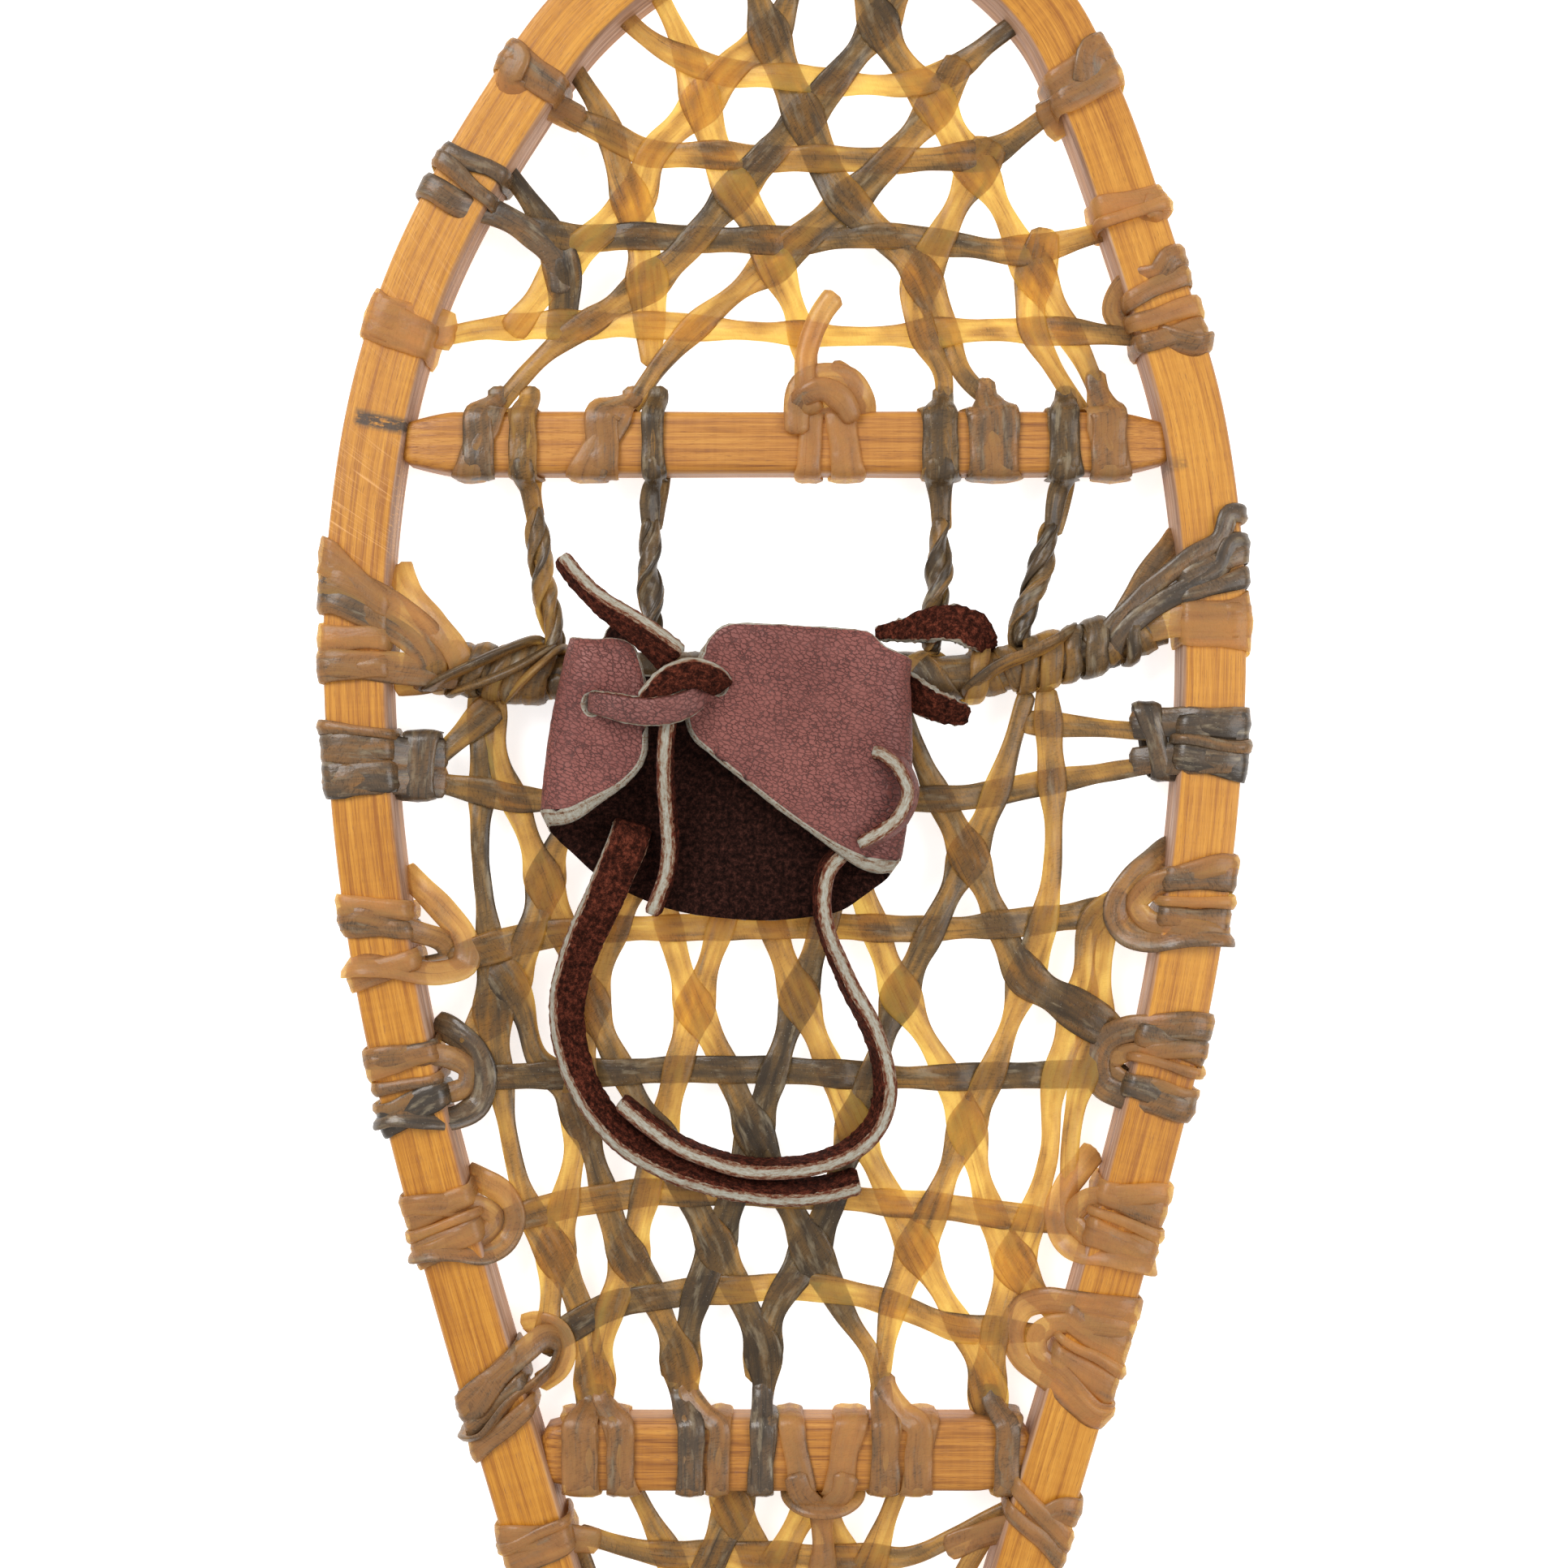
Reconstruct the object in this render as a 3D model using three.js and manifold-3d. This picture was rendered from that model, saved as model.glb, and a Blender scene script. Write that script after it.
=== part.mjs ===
// Wood-frame snowshoe with rawhide webbing and a leather toe binding.
// Millimetres. +X is the wearer's right, +Y points to the toe, +Z is up, and z = 0 is the ground.
import * as THREE from "three";
import { mergeVertices } from "three/addons/utils/BufferGeometryUtils.js";
import Module from "manifold-3d";

const wasm = await Module();
wasm.setup();

// ---------------------------------------------------------------- driving dimensions
const GAP = 0.35; // free space kept between touching pieces
const WRAP_GAP = 0.85; // the same between a lashing and the curved rail inside it
const NOSE_Y = 381; // nose of the flat outline, before the nose curls up
const TAIL_Y = -376.3;

const RAIL_WIDTH = 15.6;
const RAIL_THICKNESS = 14;
const RAIL_BOTTOM = 1.7;
const RAIL_CHAMFER = 2.4;
const RAIL_MID = RAIL_BOTTOM + RAIL_THICKNESS / 2;
const RAIL_STEPS = 72;

const NOSE_LIFT = 16; // how far the tip of the nose curls up
const NOSE_START = 236; // where the curl begins
const NOSE_PINCH = 520; // the nose narrows by lift / NOSE_PINCH as it rises
const DRIFT_START = 290; // above this the bent nose leans to the right
const DRIFT = 0.115;

const BAR_WIDTH = 15.4;
const BAR_THICKNESS = 11;
const FRONT_BAR_Y = 242.4;
const REAR_BAR_Y = -8.4;
const TENON_WIDTH = 8;
const TENON_THICKNESS = 6;
const TENON_DEPTH = 6;

const HIDE = 1.5; // thickness of one layer of rawhide
const WEB_BOTTOM = 7.6;
const WEB_TOP = 9.8;
const STRAND_WIDTH = 5.6;

const CORD_RADIUS = 6.2;
const CORD_MID = 8.6;
const PIVOT_Y = 184.8;

const LEATHER = 2.4;
const FOLD_RADIUS = 7;
const SOLE_BOTTOM = 15.6;
const FLAP_TOP = SOLE_BOTTOM + 2 * FOLD_RADIUS;
const SEAT_TILT = 4; // degrees that the heel of the toe piece rests below its front
const STRAP_THICKNESS = 4;
const STRAP_HEIGHT = 8;

// ---------------------------------------------------------------- materials
const finish = (color, roughness, metalness = 0) => new THREE.MeshStandardMaterial({ color, roughness, metalness });
const frameWood = finish(0xd08a3e, 0.5);
const barWood = finish(0xd9924a, 0.55);
const rawhide = finish(0xb98a4e, 0.45);
const darkRawhide = finish(0x6b5a45, 0.55);
const leather = finish(0x75494a, 0.65);
const lace = finish(0x6b3a30, 0.85);

// ---------------------------------------------------------------- solids
const v2 = (x, y) => new THREE.Vector2(x, y);
const v3 = (x, y, z = 0) => new THREE.Vector3(x, y, z);
const pairs = (list) => list.map(([x, y]) => v2(x, y));

function toSolid(geometry) {
  const bare = geometry.clone();
  bare.deleteAttribute("normal");
  bare.deleteAttribute("uv");
  const merged = mergeVertices(bare, 1e-4);
  return new wasm.Manifold(new wasm.Mesh({
    numProp: 3,
    vertProperties: new Float32Array(merged.attributes.position.array),
    triVerts: new Uint32Array(merged.index.array),
  }));
}

function toGeometry(solid) {
  const mesh = solid.getMesh();
  const geometry = new THREE.BufferGeometry();
  geometry.setAttribute("position", new THREE.BufferAttribute(new Float32Array(mesh.vertProperties), 3));
  geometry.setIndex(new THREE.BufferAttribute(new Uint32Array(mesh.triVerts), 1));
  return geometry;
}

const join = (solids) => solids.reduce((all, one) => all.add(one));

function largest(solid) {
  return solid.decompose().reduce((best, piece) => (piece.volume() > best.volume() ? piece : best));
}

// An upright slab over an outline, from z0 to z1.
function slab(outline, z0, z1) {
  const shape = new THREE.Shape(pairs(outline));
  const geometry = new THREE.ExtrudeGeometry(shape, { depth: z1 - z0, bevelEnabled: false });
  geometry.translate(0, 0, z0);
  return toSolid(geometry);
}

function box(x0, x1, y0, y1, z0, z1) {
  return slab([[x0, y0], [x1, y0], [x1, y1], [x0, y1]], z0, z1);
}

function rectangle(width, height) {
  const w = width / 2;
  const h = height / 2;
  return [[w, -h], [w, h], [-w, h], [-w, -h]];
}

// A rectangle with cut corners, centred on the origin.
function cutCorners(width, height, cut) {
  const w = width / 2;
  const h = height / 2;
  return [
    [w, h - cut], [w - cut, h], [cut - w, h], [-w, h - cut],
    [-w, cut - h], [cut - w, -h], [w - cut, -h], [w, cut - h],
  ];
}

// A straight bar of the given section (width across, height up) from a to b.
function barBetween(section, a, b) {
  const along = b.clone().sub(a);
  const across = v3(0, 0, 1).cross(along).normalize();
  const up = along.clone().cross(across).normalize();
  const geometry = new THREE.ExtrudeGeometry(new THREE.Shape(pairs(section)), {
    depth: along.length(),
    bevelEnabled: false,
  });
  geometry.applyMatrix4(new THREE.Matrix4().makeBasis(across, up, along.normalize()).setPosition(a));
  return toSolid(geometry);
}

// A straight bar along the rail, centred on the rail's middle at y.
function railBar(side, y, length, section) {
  const middle = railAt(side, y);
  const half = railAt(side, y + 3).sub(railAt(side, y - 3)).normalize().multiplyScalar(length / 2);
  return barBetween(section, middle.clone().sub(half), middle.clone().add(half));
}

// A flat strand of constant width along a smooth line through the points.
function strand(points, spacing) {
  const curve = new THREE.CatmullRomCurve3(points.map(([x, y]) => v3(x, y)), false, "centripetal");
  const steps = Math.max(2, Math.round(curve.getLength() / spacing));
  const line = curve.getSpacedPoints(steps);
  const half = STRAND_WIDTH / 2;
  const left = [];
  const right = [];
  line.forEach((p, i) => {
    const t = curve.getTangentAt(i / steps);
    left.push([p.x - t.y * half, p.y + t.x * half]);
    right.unshift([p.x + t.y * half, p.y - t.x * half]);
  });
  return slab([...left, ...right].reverse(), WEB_BOTTOM, WEB_TOP);
}

function tube(points, radius, sides, spacing) {
  const curve = new THREE.CatmullRomCurve3(points.map((p) => v3(...p)), false, "centripetal");
  const section = new THREE.Shape();
  for (let i = 0; i < sides; i += 1) {
    const angle = (2 * Math.PI * (i + 0.5)) / sides;
    section[i ? "lineTo" : "moveTo"](radius * Math.cos(angle), radius * Math.sin(angle));
  }
  const steps = Math.max(2, Math.round(curve.getLength() / spacing));
  return toSolid(new THREE.ExtrudeGeometry(section, { steps, extrudePath: curve, bevelEnabled: false }));
}

// ---------------------------------------------------------------- the frame's outline
// Half the outer outline from the nose to the tail, as [half width, y].
const HALF_OUTLINE = [
  [0, NOSE_Y], [23, 378], [44, 369], [64.6, 351], [79.2, 327.4], [90.8, 303.4], [100.4, 278.6], [108.2, 251],
  [113, 217], [113.9, 185], [110.8, 140], [104.2, 98], [94, 56], [84, 20], [73, -17], [54.6, -80],
  [40, -135], [27.5, -190], [19.2, -232], [16.3, -262], [16, -300], [16, TAIL_Y],
];

const drift = (y) => DRIFT * Math.max(0, y - DRIFT_START);

class RailPath extends THREE.Curve {
  constructor() {
    super();
    const right = HALF_OUTLINE.map(([x, y]) => v3(x + drift(y), y, RAIL_MID));
    const left = HALF_OUTLINE.slice(1).reverse().map(([x, y]) => v3(drift(y) - x, y, RAIL_MID));
    this.outline = new THREE.CatmullRomCurve3([...left, ...right], false, "centripetal");
  }

  getPoint(t, target = v3(0, 0)) {
    const tangent = this.outline.getTangent(t);
    return target.copy(this.outline.getPoint(t)).add(v3(tangent.y, -tangent.x).multiplyScalar(RAIL_WIDTH / 2));
  }
}

const railPath = new RailPath();
const NOSE_T = (HALF_OUTLINE.length - 1) / (2 * HALF_OUTLINE.length - 2);

// The rail's middle on one side (-1 left, +1 right) at a given y.
function railAt(side, y) {
  let near = NOSE_T;
  let far = side < 0 ? 0 : 1;
  for (let i = 0; i < 30; i += 1) {
    const middle = (near + far) / 2;
    if (railPath.getPoint(middle).y > y) near = middle;
    else far = middle;
  }
  return railPath.getPoint((near + far) / 2);
}

function railSweep(grow) {
  const section = cutCorners(RAIL_THICKNESS + 2 * grow, RAIL_WIDTH + 2 * grow, RAIL_CHAMFER + grow / 2);
  const geometry = new THREE.ExtrudeGeometry(new THREE.Shape(pairs(section)), {
    steps: RAIL_STEPS,
    extrudePath: railPath,
    bevelEnabled: false,
  });
  return toSolid(geometry);
}

const railKeepOut = railSweep(GAP);
const RAIL_SPACE = rectangle(RAIL_WIDTH + 2 * WRAP_GAP, RAIL_THICKNESS + 2 * GAP);

// ---------------------------------------------------------------- crossbars
function crossbarEnds(y) {
  return [railAt(-1, y).x + RAIL_WIDTH / 2, railAt(1, y).x - RAIL_WIDTH / 2];
}

// A crossbar narrows at its shoulders and enters the rails with a tenon.
function crossbar(y, grow = 0) {
  const [x0, x1] = crossbarEnds(y);
  const w = BAR_WIDTH / 2 + grow;
  const shoulder = w - 2.6;
  const taper = 12;
  const outline = [
    [x0 + 1 - grow, y - shoulder], [x0 + taper, y - w], [x1 - taper, y - w], [x1 - 1 + grow, y - shoulder],
    [x1 - 1 + grow, y + shoulder], [x1 - taper, y + w], [x0 + taper, y + w], [x0 + 1 - grow, y + shoulder],
  ];
  const cut = 2;
  const half = BAR_THICKNESS / 2 + grow;
  const section = barBetween(
    cutCorners(2 * w, 2 * half, cut),
    v3(x0 + 0.5 - grow, y, RAIL_MID),
    v3(x1 - 0.5 + grow, y, RAIL_MID),
  );
  const body = section.intersect(slab(outline, RAIL_MID - half, RAIL_MID + half));
  const tw = TENON_WIDTH / 2 + grow;
  const th = TENON_THICKNESS / 2 + grow;
  const reach = TENON_DEPTH + grow;
  const tenon = box(x0 - reach, x1 + reach, y - tw, y + tw, RAIL_MID - th, RAIL_MID + th);
  return body.add(tenon);
}

// A band of rawhide round a crossbar, from x0 to x1 at its top, leaning by lean millimetres.
function barBand(y, x0, x1, lean = 0, grow = 0) {
  const w = BAR_WIDTH / 2 + GAP + HIDE + grow;
  const half = BAR_THICKNESS / 2 + GAP + HIDE + grow;
  const outline = [
    [x0 - grow - lean, y - w], [x1 + grow - lean, y - w], [x1 + grow + lean, y + w], [x0 - grow + lean, y + w],
  ];
  return slab(outline, RAIL_MID - half, RAIL_MID + half);
}

// ---------------------------------------------------------------- rail lashings
// bands: [y of the band's middle, its length along the rail]; ear: outline that reaches the webbing.
function lashing({ side, bands, ear }, grow = 0) {
  const section = rectangle(
    RAIL_WIDTH + 2 * (WRAP_GAP + HIDE + grow),
    RAIL_THICKNESS + 2 * (RAIL_BOTTOM + grow),
  );
  const parts = bands.map(([y, length]) => railBar(side, y, length + 2 * grow, section));
  if (ear.length) {
    const middle = ear.reduce((sum, [x, y]) => sum.add(v2(x, y)), v2(0, 0)).divideScalar(ear.length);
    const grown = ear.map(([x, y]) => {
      const out = v2(x, y).sub(middle);
      const scale = 1 + (1.6 * grow) / out.length();
      return [middle.x + out.x * scale, middle.y + out.y * scale];
    });
    parts.push(slab(grown, WEB_BOTTOM - 1.4 - grow, WEB_TOP + 1.4 + grow));
  }
  return join(parts);
}

const LASHINGS = {
  rail_lashing_toe_left_1: { side: -1, bands: [[332, 8]], ear: [[-72, 341], [-60, 331], [-56, 325], [-64, 322]] },
  rail_lashing_toe_left_2: { side: -1, bands: [[310, 8]], ear: [[-86, 312], [-76, 304], [-73, 297], [-83, 301]] },
  rail_lashing_toe_left_3: { side: -1, bands: [[270, 11]], ear: [[-98, 265], [-98, 275], [-84, 273], [-84, 266]] },
  rail_lashing_toe_right_1: { side: 1, bands: [[333, 9]], ear: [[84, 340], [80, 326], [68, 322], [66, 328]] },
  rail_lashing_toe_right_2: { side: 1, bands: [[299, 8]], ear: [[94, 304], [94, 294], [82, 293], [82, 299]] },
  rail_lashing_toe_right_3: {
    side: 1,
    bands: [[279, 6], [269, 6]],
    ear: [[98, 284], [100, 264], [84, 265], [82, 275]],
  },
  master_lashing_left: {
    side: -1,
    bands: [[210, 9], [197, 6], [187, 6]],
    ear: [[-104, 216], [-92, 201], [-90, 178], [-104, 182]],
  },
  master_lashing_right: {
    side: 1,
    bands: [[214, 7], [202, 13]],
    ear: [[104, 222], [92, 207], [89, 188], [104, 194]],
  },
  rail_lashing_left_1: {
    side: -1,
    bands: [[167, 7], [159, 8]],
    ear: [[-100, 171], [-88, 170], [-86, 156], [-100, 154]],
  },
  rail_lashing_left_2: {
    side: -1,
    bands: [[125, 8], [112, 8]],
    ear: [[-97, 130], [-91, 132], [-79, 117], [-81, 110], [-94, 108]],
  },
  rail_lashing_left_3: {
    side: -1,
    bands: [[90, 7], [78, 8]],
    ear: [[-88, 94], [-78, 91], [-76.5, 80], [-84, 74]],
  },
  rail_lashing_left_4: {
    side: -1,
    bands: [[54, 6], [45, 7]],
    ear: [[-80, 58], [-69, 55], [-67.5, 46], [-77, 41]],
  },
  rail_lashing_left_5: {
    side: -1,
    bands: [[13, 7], [2, 8]],
    ear: [[-72, 18], [-60, 24], [-57.5, 16], [-66, -1]],
  },
  rail_lashing_left_6: {
    side: -1,
    bands: [[-32, 9]],
    ear: [[-58, -27], [-48, -27], [-47, -35], [-56, -37]],
  },
  rail_lashing_right_1: {
    side: 1,
    bands: [[172, 7], [164, 8]],
    ear: [[100, 177], [90, 176], [88, 160], [100, 159]],
  },
  rail_lashing_right_2: {
    side: 1,
    bands: [[134, 6], [124, 6]],
    ear: [[99, 140], [91, 137], [83, 124], [96, 120]],
  },
  rail_lashing_right_3: {
    side: 1,
    bands: [[93, 8], [81, 7]],
    ear: [[92, 98], [83, 96], [81, 82], [86, 77]],
  },
  rail_lashing_right_4: {
    side: 1,
    bands: [[54, 8], [44, 8]],
    ear: [[82, 60], [71, 58], [68.5, 44], [77, 40]],
  },
  rail_lashing_right_5: {
    side: 1,
    bands: [[22, 8], [12, 8]],
    ear: [[76, 30], [64, 28], [60, 20], [69, 6]],
  },
  rail_lashing_right_6: {
    side: 1,
    bands: [[-26, 9]],
    ear: [[62, -21], [56, -21.5], [53.5, -28], [59, -32]],
  },
  rail_lashing_tail_left: {
    side: -1,
    bands: [[-92, 12]],
    ear: [[-40, -85], [-32, -87], [-31, -95], [-37, -99]],
  },
  rail_lashing_tail_right: {
    side: 1,
    bands: [[-92, 12]],
    ear: [[40, -85], [32, -87], [31, -95], [37, -99]],
  },
};

// ---------------------------------------------------------------- webbing
// Each strand is a hand-drawn line through [x, y] points.
const TOE_STRANDS = [
  // across
  [[-44, 352], [-36, 344], [-27, 338.4], [-17, 335], [6, 332.6], [32, 331.4], [42, 335], [53, 343], [64, 351]],
  [[-62, 330], [-55.6, 325], [-45.6, 320], [-35, 315], [-19, 314], [10, 313], [42, 313.4], [52, 315], [68, 326]],
  [[-76, 300], [-65, 296.6], [-55, 294], [-37, 294], [-1, 293], [28, 294], [44, 292], [58, 290.4], [84, 296.6]],
  [[-86, 269], [-73, 271.4], [-33, 272], [18, 269.4], [56, 271], [86, 269.4]],
  // leaning left to right
  [[-34, 358], [-24.6, 339], [-20, 324], [-14, 308], [-7, 297], [-2.4, 287], [3.4, 273], [6.4, 256]],
  [[-9, 363], [-5.8, 349], [2.2, 329], [6.8, 319], [13.6, 305], [32, 287], [37.8, 276.4], [44.6, 260], [51, 254]],
  [[17, 361], [26.4, 340.6], [36.6, 328], [43.6, 316.6], [51.6, 305], [62, 285.6], [73.4, 266], [78, 256]],
  [[-56, 340], [-44.8, 322.4], [-41.4, 311], [-36.2, 296], [-34.4, 283], [-33.6, 266]],
  [[-74, 316], [-60, 297], [-55.2, 284], [-56, 272]],
  // leaning right to left
  [[4, 363], [-2.4, 345], [-12.8, 336], [-22.6, 325], [-33, 314], [-37, 304], [-44, 297], [-53.6, 288.6], [-66, 273]],
  [[33, 360], [22, 344], [9, 328], [-10.4, 307.4], [-26.6, 289], [-44.8, 275.2], [-58.6, 266], [-72, 251.5]],
  [[42, 334], [36.6, 324.6], [18.2, 305], [-1.2, 289], [-20.8, 273], [-31, 262.6], [-38, 252]],
  [[50, 314], [42.4, 300.4], [33.2, 280], [34.4, 270], [39.4, 260], [39.4, 252]],
  [[64.4, 292], [61.4, 273], [66.4, 262.6], [72.2, 253.4]],
];

const BODY_STRANDS = [
  // across
  [[-86, 158], [-75.6, 156], [-65.6, 154], [-23.6, 154], [32.4, 154], [46.4, 154.6], [64.4, 158], [88, 162]],
  [[-80, 115], [-65.6, 119], [-53.6, 121], [-23.6, 122], [6.4, 122.4], [36.4, 121.6], [56.4, 123], [82, 126]],
  [[-77, 84.6], [-53.6, 85.4], [-21.6, 86.6], [6.4, 86], [26.4, 84.6], [56.4, 85], [82, 85.4]],
  [[-68, 49.4], [-53.6, 53], [-33.6, 55.8], [6.4, 55], [26.4, 53.4], [46.4, 51.4], [69, 48]],
  [[-58, 19], [-45.6, 26.6], [-31.6, 30], [6.4, 32.2], [18.4, 30.4], [30.4, 26.6], [42.4, 22.4], [61, 21]],
  // leaning left to right
  [[-76.2, 180], [-75.6, 161], [-76, 141], [-74, 121], [-71, 83.4], [-64.4, 52.8], [-57.6, 41.2], [-51.2, 27], [-46.6, 2]],
  [[-73.6, 115], [-66.2, 103.4], [-61.6, 89], [-53.6, 81], [-41.2, 44], [-33.6, 31], [-26, 13], [-25.6, 2]],
  [[-73, 178], [-71.2, 163], [-65.6, 149], [-48.6, 103], [-40.6, 86], [-17.4, 43], [-10.6, 29], [-5.6, 17], [-5.6, 2]],
  [[-46.6, 154], [-34.6, 138], [-23.4, 104], [-17.6, 93], [-7.6, 71], [6.4, 42], [15.4, 25], [22.4, 14], [24, 2]],
  [[-23.6, 154], [-9.6, 138], [1.2, 110.4], [18.4, 71], [32.4, 43], [42.4, 25], [48.8, 13], [51.4, 2]],
  [[0.4, 154], [15.4, 138], [28.2, 106.8], [42.4, 81], [51.4, 51], [58, 37], [66, 27]],
  [[29, 177], [35.4, 161], [48.4, 135], [54.4, 121], [60, 110], [70.4, 103], [83, 95]],
  // leaning right to left
  [[-46, 154], [-55.6, 145], [-62.6, 123], [-70.4, 104.4], [-78, 95]],
  [[-23.6, 154], [-34.6, 138], [-48.6, 103], [-51.6, 71], [-57, 42], [-59.2, 20]],
  [[0.4, 154], [-9.6, 138], [-22.4, 102], [-30.6, 72], [-39.6, 37], [-44, 25], [-48.5, 2]],
  [[24.4, 154], [15.4, 138], [3.4, 104], [-7.6, 71], [-17.4, 42], [-22.6, 28], [-26, 12]],
  [[59.4, 177], [52.4, 155], [45.4, 139], [28, 103], [17.4, 71], [6.4, 41.4], [-2.6, 27], [-6, 12]],
  [[65.4, 178], [67, 141], [64.8, 125], [54.4, 93], [45, 71], [33, 42], [27.4, 29], [24.4, 12]],
  [[82, 128], [76.4, 123], [74, 104.4], [67, 82.2], [65.8, 64.6], [56.4, 35], [52.8, 23], [50.4, 4]],
  [[80, 124], [77, 94], [72.8, 78.6], [71, 64.6], [71, 52]],
  [[-86, 165], [-75, 175]],
  [[63, 173], [88, 171]],
];

const TAIL_STRANDS = [
  // across
  [[-48, -30], [-35.6, -33.4], [-17.6, -34.6], [6.4, -35], [30.4, -35], [42.4, -30], [54, -24]],
  [[-42, -60], [-20, -63], [20, -63], [42, -60]],
  [[-33, -92], [-12, -93], [12, -93], [33, -92]],
  [[-25, -124], [0, -126], [25, -124]],
  [[-17, -156], [0, -158], [17, -156]],
  // leaning left to right
  [[-37, -19], [-29, -35], [-18, -63], [-6, -93], [5, -125], [13, -157]],
  [[-15, -19], [-7, -35], [4, -63], [14, -93], [24, -116]],
  [[8, -19], [15, -35], [27, -63], [34, -86]],
  [[-51, -34], [-40, -62], [-27, -93], [-16, -125], [-7, -157], [0, -185]],
  // leaning right to left
  [[28, -19], [22, -35], [12, -63], [1, -93], [-9, -125], [-15, -154]],
  [[8, -19], [-1, -35], [-11, -63], [-20, -93], [-24, -112]],
  [[-11, -19], [-18, -35], [-31, -63], [-35, -80]],
  [[50, -30], [40, -48], [30, -76], [20, -106], [11, -135], [3, -165], [0, -185]],
];

// ---------------------------------------------------------------- rawhide on the crossbars
// [x from, x to, lean]
const FRONT_WRAPS = [[-80, -72.4, 3], [-49.6, -41, 3.5], [45, 58, -1], [75, 85, -1]];
const FRONT_KNOT = [2, 20];
const STRINGER_X = [-65, -33.4, 37.4, 68.8];
const REAR_WRAPS = [[-55, -46, -1], [-43.4, -36.6, -1], [-26.6, -13.6, 0], [-9, -2.4, 1.4], [21, 38, 1.4], [51.4, 57, 0]];
const REAR_KNOT = [0.6, 18];

const STRINGER_LINES = [
  [[-63.6, 233], [-62.6, 227], [-61.2, 215], [-59.6, 204], [-57.6, 194.6]],
  [[-33.4, 233], [-33.6, 224], [-33.6, 210], [-33.4, 194.6]],
  [[38.6, 233], [39, 224], [38.6, 212], [37.6, 203], [37, 194.6]],
  [[68.2, 233], [66.4, 223], [63.6, 211], [60.8, 203], [58.6, 196.2]],
];
const STRINGER_RADIUS = 3.1;

// ---------------------------------------------------------------- leather toe piece
const LEFT_FOLD = [[-52.2, 151], [-45.6, 192]];
const RIGHT_FOLD = [[20.4, 139], [24.2, 187]];
const SOLE = [
  [-45.6, 192], [-52.2, 151], [-53, 143], [-45.6, 135], [-27.6, 126.4], [-3.6, 124.6], [16, 127.6],
  [19.6, 131], [20.4, 139], [24.2, 187], [-37, 187], [-38, 192],
];
const LEFT_FLAP = [[-45.6, 192], [-52.2, 151], [-40, 158], [-34, 164], [-33.6, 184], [-37, 192]];
const RIGHT_FLAP = [
  [24.2, 187], [20, 194], [-16, 196.6], [-20.6, 189], [-23.6, 176], [-22.6, 171], [4, 150], [20.4, 139],
];

// Half a leather tube whose open side faces the sole; outward is -1 on the left and +1 on the right.
function foldRoll([start, end], outward) {
  const shape = new THREE.Shape();
  shape.absarc(0, 0, FOLD_RADIUS, -Math.PI / 2, Math.PI / 2, false);
  shape.absarc(0, 0, FOLD_RADIUS - LEATHER, Math.PI / 2, -Math.PI / 2, true);
  const a = v3(...start, SOLE_BOTTOM + FOLD_RADIUS);
  const along = v3(...end, SOLE_BOTTOM + FOLD_RADIUS).sub(a);
  const geometry = new THREE.ExtrudeGeometry(shape, {
    depth: along.length(),
    bevelEnabled: false,
    curveSegments: 6,
  });
  along.normalize();
  const up = v3(0, 0, 1);
  const out = along.clone().cross(up).multiplyScalar(outward);
  if (outward > 0) {
    geometry.applyMatrix4(new THREE.Matrix4().makeBasis(out, up.negate(), along).setPosition(a));
  } else {
    geometry.applyMatrix4(new THREE.Matrix4().makeBasis(out, up, along).setPosition(a));
  }
  return toSolid(geometry);
}

function toePieceSolid() {
  return join([
    slab(SOLE, SOLE_BOTTOM, SOLE_BOTTOM + LEATHER),
    foldRoll(LEFT_FOLD, -1),
    foldRoll(RIGHT_FOLD, 1),
    slab(LEFT_FLAP, FLAP_TOP - LEATHER, FLAP_TOP),
    slab([...RIGHT_FLAP].reverse(), FLAP_TOP - LEATHER, FLAP_TOP),
  ]);
}

// ---------------------------------------------------------------- laces and straps
// Routes of the free ends as [x, y, z] points.
const HEEL_STRAP_LEFT = [
  [-35.6, 143, 19.8], [-40.6, 136, 19.4], [-44.8, 128.6, 18.6], [-49, 120, 16.6], [-52.6, 110, 15], [-53.8, 101, 14.6],
  [-52.6, 92, 14.6], [-49.8, 84, 14.6], [-45.4, 76.6, 14.6], [-40, 70.6, 14.6], [-33.6, 66, 14.6], [-26.6, 62.6, 14.6],
  [-19, 60, 14.6], [-10.6, 58, 14.6], [-1.6, 57, 14.6], [8.4, 57.6, 14.6], [18.4, 60, 14.6],
];
const HEEL_STRAP_RIGHT = [
  [14.6, 142, 19.8], [10.4, 137, 19.5], [9, 130, 19.2], [10.2, 122, 18.4], [13, 114.6, 16.2], [16.4, 107, 14.8],
  [20.4, 99.6, 14.6], [23.6, 91, 14.6], [24.8, 82, 14.6], [22.8, 74.4, 14.6], [17.4, 68.4, 14.6], [9.4, 64.6, 14.6],
  [0.4, 63, 14.6], [-9.6, 63.2, 14.6], [-18.6, 65.6, 14.6], [-26.6, 69, 14.6], [-33, 73.4, 14.6], [-40.6, 79.6, 14.6],
];
const LACE_UPPER = [
  [-25.4, 190, 33], [-29, 193.4, 33.6], [-33.6, 196.4, 33.6], [-38.6, 199, 33], [-43, 202, 32.2], [-47, 205.6, 31.4],
  [-50.4, 209.4, 30.8], [-53.4, 213.4, 30.4],
];
const LACE_LOWER = [
  [-27.6, 172.6, 32.4], [-28.6, 168, 31], [-28.8, 160, 28], [-28.4, 152, 25], [-28, 144, 22.6], [-28.8, 137, 21.4],
  [-30.8, 131, 21], [-32.6, 126.6, 20.9],
];
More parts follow.
